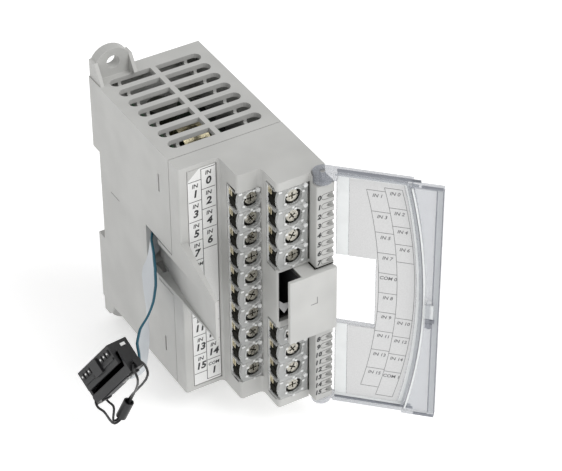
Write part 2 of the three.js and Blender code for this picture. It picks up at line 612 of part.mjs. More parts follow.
// The connector has its own axes: "long" down its length, "depth" from the socket face to the cap,
// and "side" across, along which the ribbon enters.
const CONNECTOR_MIDDLE = place(-26.2, 60.9, 20.9);
const LONG = place(-0.313, -0.489, -0.814).normalize();
const DEPTH = place(0.141, 0.823, -0.549).normalize();
const SIDE = new THREE.Vector3().crossVectors(LONG, DEPTH);
const connectorFrame = new THREE.Matrix4().makeBasis(LONG, DEPTH, SIDE).setPosition(CONNECTOR_MIDDLE);
const inConnector = (long, depth, side) => new THREE.Vector3(long, depth, side).applyMatrix4(connectorFrame);

function connectorBlock(l0, l1, p0, p1, s0, s1) {
  const geometry = new THREE.BoxGeometry(l1 - l0, p1 - p0, s1 - s0);
  geometry.translate((l0 + l1) / 2, (p0 + p1) / 2, (s0 + s1) / 2);
  return toSolid(geometry.applyMatrix4(connectorFrame));
}

function connectorBody() {
  const body = connectorBlock(-10, 10, -7.6, -0.75, -4.1, 4.1);
  const keyRib = connectorBlock(-2.2, 2.2, -7, -2, 4, 5);
  return body.add(keyRib);
}

const EAR_LONG = 12.7;

function connectorCap() {
  const bridge = connectorBlock(-11.5, 11.5, 0.75, 3.6, -2.8, 2.8);
  const ears = [-13.9, 10.5].map((l) => connectorBlock(l, l + 3.4, 0.75, 3.6, -1.2, 1.2));
  const sides = [-11.5, 10.4].map((l) => connectorBlock(l, l + 1.1, -4.5, 1, -2.8, 2.8));
  const holes = [-1, 1].map((end) => {
    const geometry = new THREE.CylinderGeometry(0.75, 0.75, 8, 10).rotateX(Math.PI / 2);
    geometry.translate(end * EAR_LONG, 2.1, 0);
    return toSolid(geometry.applyMatrix4(connectorFrame));
  });
  return joined([bridge, ...ears, ...sides]).subtract(joined(holes));
}

const CRIMP_TOP = place(-22.4, 62.6, 9.4);
const CRIMP_LOW = place(-24.9, 61.4, 3.2);
const CRIMP_MIDDLE = CRIMP_TOP.clone().add(CRIMP_LOW).multiplyScalar(0.5);
const CRIMP_AXIS = CRIMP_TOP.clone().sub(CRIMP_LOW).normalize();
const CRIMP_RADIUS = 1.75;
const CRIMP_BORE = 1.3;
const CORD_RADIUS = 0.4;
const CORD_APART = place(-0.2, 0.58, 0); // half the gap between the two strands in the crimp
const LOWER_KNEE = place(-27.4, 61.2, 1.7); // where the lower loop turns back up past the crimp

// One cord makes both pull loops: from the middle of the crimp up through the cap's upper ear, back
// down through the whole crimp, through the lower ear, and up into the crimp again.
function pullCordRoute() {
  const turn = [[EAR_LONG - 1.2, 6.8, 2.2], [EAR_LONG - 0.1, 4.5, 2.4], [EAR_LONG, 2.5, 1.8],
    [EAR_LONG, 2.1, 0], [EAR_LONG, 2.5, -1.8], [EAR_LONG - 0.1, 4.5, -2.4], [EAR_LONG - 1.2, 6.8, -2.2]];
  const throughEar = (end) => turn.map(([long, depth, side]) => inConnector(end * long, depth, side));
  const inCrimp = (along, side) =>
    CRIMP_MIDDLE.clone().addScaledVector(CRIMP_AXIS, along).addScaledVector(CORD_APART, side);
  const knee = (side) => LOWER_KNEE.clone().addScaledVector(CORD_APART, side);
  return [
    inCrimp(0.5, 1), inCrimp(2.6, 1), inCrimp(4.8, 1), ...throughEar(-1),
    inCrimp(4.8, -1), inCrimp(2.6, -1), inCrimp(0, -1), inCrimp(-2.6, -1), inCrimp(-4.4, -1), knee(-1),
    ...throughEar(1).reverse(), knee(1), inCrimp(-4.4, 1), inCrimp(-2.6, 1), inCrimp(-0.5, 1),
  ];
}

function pullCord() {
  const section = new THREE.Shape().absarc(0, 0, CORD_RADIUS, 0, 2 * Math.PI);
  const curve = new THREE.CatmullRomCurve3(pullCordRoute());
  const shape = { steps: 76, curveSegments: 4, extrudePath: curve };
  return toSolid(new THREE.ExtrudeGeometry(section, shape));
}

function crimp() {
  const length = CRIMP_TOP.distanceTo(CRIMP_LOW);
  const tube = new THREE.CylinderGeometry(CRIMP_RADIUS, CRIMP_RADIUS, length, 20);
  const bore = new THREE.CylinderGeometry(CRIMP_BORE, CRIMP_BORE, length + 2, 20);
  const lean = new THREE.Quaternion().setFromUnitVectors(new THREE.Vector3(0, 1, 0), CRIMP_AXIS);
  const stand = (geometry) => {
    geometry.applyQuaternion(lean);
    return toSolid(geometry.translate(...CRIMP_MIDDLE));
  };
  return stand(tube).subtract(stand(bore));
}

// ---------- assembly ----------
addPiece("rear_housing", rearHousing(), housingGrey);
addPiece("front_cover", frontCover(), housingGrey);
addPiece("label_plate", block(LABEL_X0, LABEL_X1, LABEL_D - 0.6, LABEL_D - 0.1, LABEL_LOW_Z, LABEL_HIGH_Z),
  labelWhite);

const outerHeights = screwHeights(OUTER_ROWS, 0, OUTER_ROWS - 1);
const innerTopHeights = screwHeights(INNER_SLOTS, 0, INNER_GAP_FIRST - 1);
const innerLowHeights = screwHeights(INNER_SLOTS, INNER_GAP_LAST + 1, INNER_SLOTS - 1);
const outerRow = [OUTER_ROW_X, INNER_ROW_X - GAP, OUTER_SCREW_X, OUTER_FLOOR_D, OUTER_ROW_D];
const innerRow = [INNER_ROW_X, LED_X - 0.7, INNER_SCREW_X, INNER_FLOOR_D, INNER_ROW_D];
addPiece("terminal_block_outer", terminalBlock(...outerRow, outerHeights), terminalGrey);
addPiece("terminal_block_inner_upper", terminalBlock(...innerRow, innerTopHeights), terminalGrey);
addPiece("terminal_block_inner_lower", terminalBlock(...innerRow, innerLowHeights), terminalGrey);
addPiece("finger_guard_outer", fingerGuard(...outerRow, outerHeights), guardClear);
addPiece("finger_guard_inner_upper", fingerGuard(...innerRow, innerTopHeights), guardClear);
addPiece("finger_guard_inner_lower", fingerGuard(...innerRow, innerLowHeights), guardClear);

const outerNames = ["in_1", "in_3", "in_5", "in_7", "com_0", "in_8", "in_9", "in_11", "in_13", "in_15"];
const innerNames = ["in_0", "in_2", "in_4", "in_6", "in_10", "in_12", "in_14", "com_1"];
const addScrew = (name, x, frontD, z) => {
  const mesh = addPiece(`screw_${name}`, terminalScrew(), nickel);
  mesh.rotation.z = Math.PI;
  mesh.position.set(x, -(frontD - SCREW_RECESS), z);
};
outerHeights.forEach((z, i) => addScrew(outerNames[i], OUTER_SCREW_X, OUTER_ROW_D, z));
[...innerTopHeights, ...innerLowHeights].forEach((z, i) => {
  addScrew(innerNames[i], INNER_SCREW_X, INNER_ROW_D, z);
});

addPiece("bus_socket", busSocket(), socketBlack);
addPiece("bus_cover", busCover(), housingGrey);
addPiece("lamp_bar_upper", block(35.7, 37.8, 76, LAMP_FLOOR_D - GAP, 59.6, 81.6), guardClear);
addPiece("lamp_bar_lower", block(35.7, 37.8, 76, LAMP_FLOOR_D - GAP, 3.8, 30.6), guardClear);

const doorGroup = new THREE.Group();
doorGroup.position.set(HINGE_X, -HINGE_D, 0);
doorGroup.rotation.z = THREE.MathUtils.degToRad(DOOR_OPEN_DEG);
module.add(doorGroup);
addPiece("door", door(), doorClear, doorGroup);
addPiece("door_label", doorLabel(), labelGrey, doorGroup);
addPiece("hinge_pin_upper", bar("z", PIN_UPPER_Z, HEIGHT + 0.4, HINGE_X, HINGE_D, PIN_RADIUS, 12), steel);
addPiece("hinge_pin_lower", bar("z", -0.5, PIN_LOWER_Z, HINGE_X, HINGE_D, PIN_RADIUS, 12), steel);

addPiece("rail_latch", railLatch(), housingGrey);
addPiece("latch_spring", latchSpring(), steel);

addPiece("main_board", block(25, 26.6, 9, 54, 8, 82), boardGreen);
addPiece("terminal_board", block(3, 24.4, 55.2, 56.8, 6, 31), boardGreen);
addPiece("power_inductor", ringCore(13, 22, 34, 76, 9, 4.2), copper);
addPiece("filter_capacitor", bar("z", 62, 83, 17, 17, 5, 20), capacitorBlue);
addPiece("controller_chip", block(22.4, 24.7, 22, 36, 16, 30), socketBlack);
addPiece("power_converter", block(12, 24.7, 36, 51, 56, 66), socketBlack);
addPiece("isolator_bank", block(26.9, 34, 12, 50, 52, 74), socketBlack);
addPiece("input_board", block(9.4, 11, 9, 50, 55.5, 82), boardGreen);
addPiece("ribbon_header", block(18, 24.7, 25, 32, 38, 54.5), socketBlack);

addPiece("ribbon", ribbon(), ribbonWhite);
addPiece("ribbon_connector", connectorBody(), socketBlack);
addPiece("ribbon_connector_cap", connectorCap(), socketBlack);
addPiece("pull_cord", pullCord(), cordBlack);
addPiece("pull_crimp", crimp(), cordBlack);

const exported = new THREE.Group();
exported.add(module);
export default exported;
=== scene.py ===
"""Expansion input module for a small programmable controller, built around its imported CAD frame."""
import json
import math

import bmesh
import bpy
from mathutils import Matrix, Vector


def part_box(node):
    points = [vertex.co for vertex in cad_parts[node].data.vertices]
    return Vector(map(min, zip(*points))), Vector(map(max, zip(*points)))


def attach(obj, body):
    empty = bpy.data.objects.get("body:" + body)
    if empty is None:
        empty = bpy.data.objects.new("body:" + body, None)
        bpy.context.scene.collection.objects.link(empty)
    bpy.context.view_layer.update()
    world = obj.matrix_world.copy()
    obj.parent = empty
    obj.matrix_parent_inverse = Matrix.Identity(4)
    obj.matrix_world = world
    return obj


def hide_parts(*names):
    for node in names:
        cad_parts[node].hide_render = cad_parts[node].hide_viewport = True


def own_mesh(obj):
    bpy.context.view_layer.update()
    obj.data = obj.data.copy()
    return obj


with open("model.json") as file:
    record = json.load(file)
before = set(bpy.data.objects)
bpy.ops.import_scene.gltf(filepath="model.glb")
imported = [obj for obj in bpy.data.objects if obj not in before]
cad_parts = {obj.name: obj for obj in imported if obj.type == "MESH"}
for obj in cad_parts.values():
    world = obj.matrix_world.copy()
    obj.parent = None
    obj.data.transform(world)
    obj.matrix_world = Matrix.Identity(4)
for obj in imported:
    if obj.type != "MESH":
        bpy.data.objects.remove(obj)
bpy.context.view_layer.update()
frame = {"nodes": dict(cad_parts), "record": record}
NODES = frame["nodes"]

# ---------- module coordinates ----------
# Sizes below are in millimetres: x from the left face, d forward from the back plane, z up from
# the bottom face. They are turned into the row frame, in metres, by at().
WIDTH = 40
HEIGHT = 90
MID_Z = HEIGHT / 2
SEAT_D = 4.3


def at(x, d, z):
    """A place in the row frame, in metres, from module millimetres."""
    return Vector(((x - WIDTH / 2) / 1000, (SEAT_D - d) / 1000, (z - MID_Z) / 1000))


# ---------- camera ----------
CAMERA_PLACE = (-0.27908, -0.55893, 0.46163)
CAMERA_RIGHT = (0.8609, -0.5087, -0.0051)
CAMERA_UP = (0.3166, 0.5278, 0.7882)
CAMERA_BACK = (-0.3983, -0.6802, 0.6154)
LENS = 149.14


def add_camera():
    """The view from the front left and above. It is the only camera."""
    data = bpy.data.cameras.new("camera")
    data.sensor_width = 36
    data.lens = LENS
    data.clip_start = 0.01
    data.clip_end = 20
    camera = bpy.data.objects.new("camera", data)
    bpy.context.scene.collection.objects.link(camera)
    turn = Matrix((CAMERA_RIGHT, CAMERA_UP, CAMERA_BACK)).transposed().to_4x4()
    camera.matrix_world = Matrix.Translation(CAMERA_PLACE) @ turn
    bpy.context.scene.camera = camera


add_camera()
scene = bpy.context.scene
scene.view_settings.view_transform = "Standard"


# ---------- mesh building ----------
def link_mesh(name, mesh):
    piece = bpy.data.objects.new(name, mesh)
    scene.collection.objects.link(piece)
    return piece


def smooth(piece):
    for polygon in piece.data.polygons:
        polygon.use_smooth = True


def soften(piece, width):
    """Rounds the piece's edges, width in millimetres, and shades it smoothly between them."""
    bevel = piece.modifiers.new("round", "BEVEL")
    bevel.width = width / 1000
    bevel.segments = 2
    bevel.limit_method = "ANGLE"
    bevel.angle_limit = math.radians(35)
    bevel.use_clamp_overlap = True
    bevel.harden_normals = True
    smooth(piece)


# From the two coordinates of an outline and the one along the axis to x, d, z.
AXIS_ORDER = {
    "x": lambda u, v, w: (w, u, v),
    "d": lambda u, v, w: (u, w, v),
    "z": lambda u, v, w: (u, v, w),
}


class Build:
    """Collects closed shapes in module millimetres, and makes one mesh piece of them."""

    def __init__(self, place=at):
        self.place = place
        self.points = []
        self.faces = []
        self.slots = []

    def add(self, points, faces, slot=0):
        base = len(self.points)
        self.points += [self.place(*point) for point in points]
        self.faces += [[base + i for i in face] for face in faces]
        self.slots += [slot] * len(faces)

    def box(self, x0, x1, d0, d1, z0, z1, slot=0):
        corners = [(x, d, z) for x in (x0, x1) for d in (d0, d1) for z in (z0, z1)]
        faces = [(0, 1, 3, 2), (4, 6, 7, 5), (0, 4, 5, 1), (2, 3, 7, 6), (0, 2, 6, 4), (1, 5, 7, 3)]
        self.add(corners, faces, slot)

    def prism(self, outline, axis, low, high, slot=0):
        """An outline in the two coordinates other than axis, in the order x, d, z."""
        order = AXIS_ORDER[axis]
        count = len(outline)
        points = [order(u, v, low) for u, v in outline] + [order(u, v, high) for u, v in outline]
        faces = [tuple(range(count)), tuple(range(2 * count - 1, count - 1, -1))]
        faces += [(i, i + count, (i + 1) % count + count, (i + 1) % count) for i in range(count)]
        self.add(points, faces, slot)

    def round(self, axis, first, second, radius, low, high, sides=20, slot=0, turn=0.0):
        angles = [turn + 2 * math.pi * i / sides for i in range(sides)]
        outline = [(first + radius * math.cos(a), second + radius * math.sin(a)) for a in angles]
        self.prism(outline, axis, low, high, slot)

    def ring(self, axis, first, second, outer, inner, low, high, sides=24, slot=0):
        """A short tube: outer and inner may be one radius each or (low end, high end)."""
        order = AXIS_ORDER[axis]
        outer = outer if isinstance(outer, tuple) else (outer, outer)
        inner = inner if isinstance(inner, tuple) else (inner, inner)
        rows = [(outer[0], low), (outer[1], high), (inner[1], high), (inner[0], low)]
        points = []
        for i in range(sides):
            a = 2 * math.pi * i / sides
            points += [order(first + r * math.cos(a), second + r * math.sin(a), w) for r, w in rows]
        faces = []
        for i in range(sides):
            here, after = 4 * i, 4 * ((i + 1) % sides)
            faces += [(here + k, after + k, after + (k + 1) % 4, here + (k + 1) % 4) for k in range(4)]
        self.add(points, faces, slot)

    def tube(self, line, radius, sides=8, slot=0):
        """A round rod along points in module millimetres, with flat ends."""
        points, faces = sweep(line, [(radius * math.cos(2 * math.pi * k / sides),
                                      radius * math.sin(2 * math.pi * k / sides))
                                     for k in range(sides)])
        self.add(points, faces, slot)

    def piece(self, name, body, slot, materials, edge=0.0):
        """Makes the mesh, riding on a body. Edge is the width of its rounding in millimetres."""
        mesh = bpy.data.meshes.new(name)
        mesh.from_pydata([tuple(p) for p in self.points], [], self.faces)
        for surface in materials:
            mesh.materials.append(surface)
        for polygon, index in zip(mesh.polygons, self.slots):
            polygon.material_index = index
        shell = bmesh.new()
        shell.from_mesh(mesh)
        bmesh.ops.recalc_face_normals(shell, faces=shell.faces)
        shell.to_mesh(mesh)
        shell.free()
        piece = link_mesh(name, mesh)
        if edge > 0:
            soften(piece, edge)
        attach(piece, body)
        return piece


def sweep(line, section):
    """Sweeps a closed section along a line, turning it as little as it can."""
    line = [Vector(p) for p in line]
    points, faces = [], []
    across = None
    for i, middle in enumerate(line):
        ahead = (line[min(i + 1, len(line) - 1)] - line[max(i - 1, 0)]).normalized()
        if across is None:
            upper = ahead.orthogonal()
        else:
            upper = ahead.cross(across) * -1
        upper = (upper - ahead * upper.dot(ahead)).normalized()
        across = ahead.cross(upper)
        points += [tuple(middle + across * u + upper * v) for u, v in section]
    count = len(section)
    for i in range(len(line) - 1):
        for k in range(count):
            a, b = i * count + k, i * count + (k + 1) % count
            faces.append((a, b, b + count, a + count))
    faces.append(tuple(range(count - 1, -1, -1)))
    faces.append(tuple(range((len(line) - 1) * count, len(line) * count)))
    return points, faces


def smooth_line(rows, per_span):
    """A centripetal Catmull-Rom curve through rows of (point, edge direction), with the edge blended."""
    points = [Vector(row[:3]) for row in rows]
    edges = [Vector(row[3:]) for row in rows]
    padded = [points[0] * 2 - points[1]] + points + [points[-1] * 2 - points[-2]]
    line, sides = [], []
    for i in range(len(points) - 1):
        p0, p1, p2, p3 = padded[i:i + 4]
        t1 = math.sqrt((p1 - p0).length)
        t2 = t1 + math.sqrt((p2 - p1).length)
        t3 = t2 + math.sqrt((p3 - p2).length)
        for k in range(per_span):
            share = k / per_span
            t = t1 + (t2 - t1) * share
            a1 = p0.lerp(p1, t / t1)
            a2 = p1.lerp(p2, (t - t1) / (t2 - t1))
            a3 = p2.lerp(p3, (t - t2) / (t3 - t2))
            b1 = a1.lerp(a2, t / t2)
            b2 = a2.lerp(a3, (t - t1) / (t3 - t1))
            line.append(b1.lerp(b2, (t - t1) / (t2 - t1)))
            sides.append(edges[i].lerp(edges[i + 1], share))
    return line + [points[-1]], sides + [edges[-1]]


# ---------- materials ----------
def material(name, colour, rough, metal=0.0, alpha=1.0, coat=0.0):
    made = bpy.data.materials.new(name)
    made.use_nodes = True
    shader = made.node_tree.nodes["Principled BSDF"]
    shader.inputs["Base Color"].default_value = (*colour, 1)
    shader.inputs["Roughness"].default_value = rough
    shader.inputs["Metallic"].default_value = metal
    shader.inputs["Alpha"].default_value = alpha
    shader.inputs["Coat Weight"].default_value = coat
    return made


def noise(made, scale, detail=3.0, stretch=(1, 1, 1)):
    """A noise factor over the surface; scale is in features for each metre."""
    nodes, links = made.node_tree.nodes, made.node_tree.links
    place = nodes.new("ShaderNodeTexCoord")
    stretched = nodes.new("ShaderNodeMapping")
    stretched.inputs["Scale"].default_value = stretch
    texture = nodes.new("ShaderNodeTexNoise")
    texture.inputs["Scale"].default_value = scale
    texture.inputs["Detail"].default_value = detail
    links.new(place.outputs["Object"], stretched.inputs["Vector"])
    links.new(stretched.outputs["Vector"], texture.inputs["Vector"])
    return texture.outputs["Fac"]


def tint(made, factor, dark, light, low=0.35, high=0.65):
    """Varies the base colour from dark to light by the factor."""
    nodes, links = made.node_tree.nodes, made.node_tree.links
    ramp = nodes.new("ShaderNodeValToRGB")
    ramp.color_ramp.elements[0].position = low
    ramp.color_ramp.elements[0].color = (*dark, 1)
    ramp.color_ramp.elements[1].position = high
    ramp.color_ramp.elements[1].color = (*light, 1)
    links.new(factor, ramp.inputs["Fac"])
    links.new(ramp.outputs["Color"], nodes["Principled BSDF"].inputs["Base Color"])


def roughen(made, factor, low, high):
    nodes, links = made.node_tree.nodes, made.node_tree.links
    spread = nodes.new("ShaderNodeMapRange")
    spread.inputs["To Min"].default_value = low
    spread.inputs["To Max"].default_value = high
    links.new(factor, spread.inputs["Value"])
    links.new(spread.outputs["Result"], nodes["Principled BSDF"].inputs["Roughness"])


def emboss(made, factor, depth, strength=1.0):
    """Bump of the given depth in millimetres."""
    nodes, links = made.node_tree.nodes, made.node_tree.links
    bump = nodes.new("ShaderNodeBump")
    bump.inputs["Strength"].default_value = strength
    bump.inputs["Distance"].default_value = depth / 1000
    links.new(factor, bump.inputs["Height"])
    links.new(bump.outputs["Normal"], nodes["Principled BSDF"].inputs["Normal"])


def shade(colour, amount):
    return tuple(part * amount for part in colour)


def moulded(name, colour, rough, grain=0.02, spread=0.05):
    """Matte moulded plastic: a fine spark-eroded grain over slow, faint changes of tone."""
    made = material(name, colour, rough)
    tint(made, noise(made, 70, 2), shade(colour, 1 - spread), shade(colour, 1 + spread))
    fine = noise(made, 5200, 2)
    roughen(made, fine, rough - 0.08, rough + 0.08)
    emboss(made, fine, grain, 0.35)
    return made


def clear(name, colour, rough, alpha):
    """Clear moulded plastic, with slow ripples from the mould."""
    made = material(name, colour, rough, alpha=alpha, coat=0.3)
    tint(made, noise(made, 160, 2), shade(colour, 0.95), colour)
    emboss(made, noise(made, 900, 2), 0.14, 0.6)
    return made


def plated(name, colour, rough, scratch=0.02):
    """Metal with turning marks and faint tarnish."""
    made = material(name, colour, rough, metal=1.0)
    tint(made, noise(made, 1400, 3), shade(colour, 0.7), shade(colour, 1.15))
    lines = noise(made, 3000, 2, (1, 1, 9))
    roughen(made, lines, rough - 0.08, rough + 0.14)
    emboss(made, lines, scratch, 0.5)
    return made


def printed(name, colour, rough):
    """Printing ink or coated sheet, with a little fibre in it."""
    made = material(name, colour, rough)
    tint(made, noise(made, 2600, 3), shade(colour, 0.95), shade(colour, 1.03))
    emboss(made, noise(made, 3500, 2), 0.01, 0.2)
    return made


HOUSING = moulded("housing_grey", (0.50, 0.50, 0.485), 0.52)
COVER_GREY = moulded("bus_cover_grey", (0.53, 0.53, 0.515), 0.45, 0.012)
DARK_GREY = moulded("terminal_grey", (0.11, 0.112, 0.105), 0.5)
BLACK = moulded("black_plastic", (0.012, 0.012, 0.013), 0.42, 0.015, 0.2)
# A near-black with little gloss, used as painted shade in the wire holes, below the screws, at the ends of
# the screw slots and in the gaps between parts.
PAINTED_SHADE_BLACK = moulded("painted_shade_black", (0.014, 0.014, 0.011), 0.85, 0.01, 0.1)
PAINTED_SHADE_BLACK.node_tree.nodes["Principled BSDF"].inputs["Specular IOR Level"].default_value = 0.1
GLOSS_BLACK = moulded("black_jacket", (0.01, 0.01, 0.011), 0.3, 0.01, 0.2)
GUARD = clear("guard_clear", (0.80, 0.81, 0.80), 0.05, 0.36)
# A brighter, denser copy of the guard's clear, for painted highlights on its small raised bits.
GUARD_PAINTED_HIGHLIGHT = clear("guard_painted_highlight", (0.92, 0.93, 0.925), 0.05, 0.72)
DOOR_CLEAR = clear("door_clear", (0.37, 0.39, 0.435), 0.06, 0.42)
# Painted shade lines and painted highlight lines for the look of the door's thick clear rims.
DOOR_PAINTED_SHADE = clear("door_painted_shade", (0.25, 0.26, 0.29), 0.1, 0.9)
DOOR_PAINTED_HIGHLIGHT = clear("door_painted_highlight", (0.93, 0.95, 0.95), 0.08, 0.9)
WHITE_SHEET = printed("label_white", (0.80, 0.80, 0.79), 0.45)
GREY_SHEET = printed("label_grey", (0.70, 0.70, 0.70), 0.45)
INK = printed("ink", (0.022, 0.022, 0.024), 0.5)
FAINT_INK = printed("faint_ink", (0.16, 0.16, 0.165), 0.5)
NICKEL = plated("nickel", (0.46, 0.44, 0.385), 0.18)
BRASS = plated("brass_clamp", (0.80, 0.72, 0.50), 0.22)
STEEL = plated("steel_wire", (0.5, 0.5, 0.49), 0.3)
BOARD = moulded("solder_resist", (0.03, 0.085, 0.04), 0.35, 0.01, 0.15)
COPPER = plated("enamelled_copper", (0.42, 0.38, 0.26), 0.3)
SLEEVE = moulded("capacitor_sleeve", (0.035, 0.037, 0.028), 0.3, 0.008, 0.15)
RIBBON_GREY = moulded("ribbon_grey", (0.62, 0.65, 0.68), 0.4, 0.01, 0.04)
TEAL = moulded("ribbon_stripe", (0.01, 0.10, 0.15), 0.4, 0.01, 0.1)
WHITE_PAINT = printed("white_paint", (0.75, 0.75, 0.74), 0.5)
LAMP = material("lamp_lens", (0.30, 0.31, 0.30), 0.25, coat=0.5)
tint(LAMP, noise(LAMP, 900), (0.26, 0.27, 0.26), (0.34, 0.35, 0.34))

SLOT_MATERIALS = {
    "housing": HOUSING, "terminal": DARK_GREY, "clear_guard": GUARD, "clear_door": DOOR_CLEAR,
    "label_white": WHITE_SHEET, "label_grey": GREY_SHEET, "nickel": NICKEL, "steel": STEEL,
    "black_plastic": BLACK, "circuit_board": BOARD, "copper": COPPER, "capacitor": SLEEVE,
    "ribbon": RIBBON_GREY, "cord": GLOSS_BLACK,
}
NODE_MATERIALS = {"bus_cover": COVER_GREY, "lamp_bar_upper": LAMP, "lamp_bar_lower": LAMP}


def finish_nodes():
    """Gives every CAD node its material, and rounds the edges of the ones that show."""
    rounding = {
        "rear_housing": 0.35, "front_cover": 0.3, "bus_cover": 0.25, "bus_socket": 0.15,
        "ribbon_connector": 0.2, "ribbon_connector_cap": 0.2, "rail_latch": 0.3, "door": 0.12,
    }
    for part in frame["record"]["subparts"]:
        name = part["node"]
        node = NODES[name]
        node.data.materials.clear()
        node.data.materials.append(NODE_MATERIALS.get(name, SLOT_MATERIALS[part["material_slot"]]))
        width = rounding.get(name, 0.12 if name.startswith("screw_") else 0)
        if width:
            round_shell(node, width)


def round_shell(node, width):
    """Merges a CAD node's flat triangles into whole faces, then rounds its edges."""
    weld = node.modifiers.new("weld", "WELD")
    weld.merge_threshold = 1e-6
    flat = node.modifiers.new("flat", "DECIMATE")
    flat.decimate_type = "DISSOLVE"
    flat.angle_limit = math.radians(0.5)
    bevel = node.modifiers.new("round", "BEVEL")
    bevel.width = width / 1000
    bevel.segments = 2
    bevel.limit_method = "ANGLE"
    bevel.angle_limit = math.radians(38)
    bevel.use_clamp_overlap = True
    weighted = node.modifiers.new("normals", "WEIGHTED_NORMAL")
    weighted.keep_sharp = True


finish_nodes()


# ---------- lettering ----------
GLYPHS = {}
INK_THICK = 0.03
CAPITAL_HEIGHT = 0.7  # of the built-in font, as a share of its size


def glyphs(text, slant, bold):
    """The triangles of a short text, one unit high, in the built-in font."""
    if (text, slant, bold) not in GLYPHS:
        curve = bpy.data.curves.new("text", "FONT")
        curve.body = text
        curve.align_x = "CENTER"
        curve.align_y = "CENTER"
        curve.shear = slant
        curve.offset = bold
        curve.resolution_u = 3
        holder = bpy.data.objects.new("text", curve)
        scene.collection.objects.link(holder)
        ready = holder.evaluated_get(bpy.context.evaluated_depsgraph_get())
        mesh = bpy.data.meshes.new_from_object(ready)
        points = [tuple(v.co) for v in mesh.vertices]
        faces = [tuple(p.vertices) for p in mesh.polygons]
        GLYPHS[(text, slant, bold)] = (points, faces)
        bpy.data.objects.remove(holder)
        bpy.data.curves.remove(curve)
        bpy.data.meshes.remove(mesh)
    return GLYPHS[(text, slant, bold)]


def write(build, text, height, middle, right, up, out, bold=0.0, slant=0.0):
    """Adds text as thin solid ink, height in millimetres, centred on middle."""
    points, faces = glyphs(text, slant, bold)
    size = height / CAPITAL_HEIGHT
    right, up, out = Vector(right), Vector(up), Vector(out)
    low = [tuple(Vector(middle) + right * x * size + up * y * size) for x, y, _ in points]
    high = [tuple(Vector(p) + out * INK_THICK) for p in low]
    count = len(points)
    edges = {(a, face[(i + 1) % len(face)]) for face in faces for i, a in enumerate(face)}
    walls = [(a, b, b + count, a + count) for a, b in sorted(edges) if (b, a) not in edges]
    lids = [tuple(reversed(face)) for face in faces]
    tops = [tuple(i + count for i in face) for face in faces]
    build.add(low + high, lids + tops + walls)


# ---------- cords ----------
# The bus ribbon: x, d, z, then the direction of its striped edge in the same axes.
RIBBON_ROUTE = [
    (17.7, 28.6, 46.4, 0, 0, 1), (11.5, 30.4, 46.5, 0, 0, 1), (5.6, 34.0, 46.7, 0, 0, 1),
    (1.4, 37.4, 46.8, 0, 0.05, 1), (-1.0, 39.8, 46.6, 0, 0.25, 0.95),
    (-2.7, 42.4, 45.4, 0, 0.62, 0.78), (-4.3, 45.2, 42.9, 0.02, 0.77, 0.63),
    (-5.8, 48.3, 39.3, 0, 0.75, 0.66), (-7.5, 51.1, 35.9, -0.14, 0.75, 0.65),
    (-9.5, 53.2, 32.6, -0.36, 0.71, 0.6), (-11.9, 54.9, 29.3, -0.55, 0.57, 0.6),
    (-13.6, 56.8, 25.9, -0.6, 0.5, 0.6), (-14.9, 59.2, 22.6, -0.5, 0.52, 0.66),
    (-16.7, 61.0, 20.2, -0.35, 0.45, 0.78), (-19.3, 60.6, 19.5, -0.02, 0.44, 0.88),
    (-22.2, 59.8, 20.1, 0.28, 0.48, 0.83), (-26.2, 60.9, 20.9, 0.31, 0.49, 0.81),
]
RIBBON_HALF = 5.9
RIBBON_THICK = 0.8
RIBBON_WIRES = 16


def ribbon_section():
    """Round wires side by side, joined by thin webs; the striped wire is at the positive end."""
    pitch = 2 * RIBBON_HALF / RIBBON_WIRES
    top = []
    for wire in range(RIBBON_WIRES):
        low = -RIBBON_HALF + wire * pitch
        top += [(low, RIBBON_THICK * 0.3), (low + pitch * 0.25, RIBBON_THICK * 0.46),
                (low + pitch * 0.5, RIBBON_THICK * 0.5), (low + pitch * 0.75, RIBBON_THICK * 0.46)]
    top.append((RIBBON_HALF, RIBBON_THICK * 0.3))
    return top + [(across, -out) for across, out in reversed(top)]


def ribbon_cable():
    """The flat cable from the header inside to the plug, with one striped wire."""
    line, sides = smooth_line(RIBBON_ROUTE, 6)
    section = ribbon_section()
    points, faces = [], []
    for i, middle in enumerate(line):
        ahead = (line[min(i + 1, len(line) - 1)] - line[max(i - 1, 0)]).normalized()
        edge = (sides[i] - ahead * sides[i].dot(ahead)).normalized()
        face = ahead.cross(edge)
        points += [tuple(middle + edge * u + face * v) for u, v in section]
    count = len(section)
    striped = count // 2 - 6
    slots = []
    for i in range(len(line) - 1):
        for k in range(count):
            a, b = i * count + k, i * count + (k + 1) % count
            faces.append((a, b, b + count, a + count))
            slots.append(1 if striped <= k < count - striped - 1 else 0)
    faces += [tuple(range(count)), tuple(range((len(line) - 1) * count, len(line) * count))]
    slots += [0, 0]
    build = Build()
    build.add(points, faces)
    build.slots = slots
    cable = build.piece("bus_ribbon", "housing", "ribbon", [RIBBON_GREY, TEAL])
    smooth(cable)
    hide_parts("ribbon")


# The pull cord: one cord through a crimp, with a loop through each ear of the plug's cap.
PLUG_MIDDLE = Vector((-26.2, 60.9, 20.9))
PLUG_LONG = Vector((-0.313, -0.489, -0.814)).normalized()
PLUG_DEPTH = Vector((0.141, 0.823, -0.549)).normalized()
PLUG_SIDE = PLUG_DEPTH.cross(PLUG_LONG)
CRIMP_TOP = Vector((-22.4, 62.6, 9.4))
CRIMP_LOW = Vector((-24.9, 61.4, 3.2))
CORD_APART = Vector((-0.2, 0.58, 0))
LOWER_KNEE = Vector((-27.4, 61.2, 1.7))
EAR_LONG = 12.7
CORD_RADIUS = 0.4


def in_plug(l, p, s):
    """A point by the plug's own axes: along it, through it and across it."""
    return PLUG_MIDDLE + PLUG_LONG * l + PLUG_DEPTH * p + PLUG_SIDE * s


def in_crimp(along, side):
    middle = (CRIMP_TOP + CRIMP_LOW) / 2
    return middle + (CRIMP_TOP - CRIMP_LOW).normalized() * along + CORD_APART * side


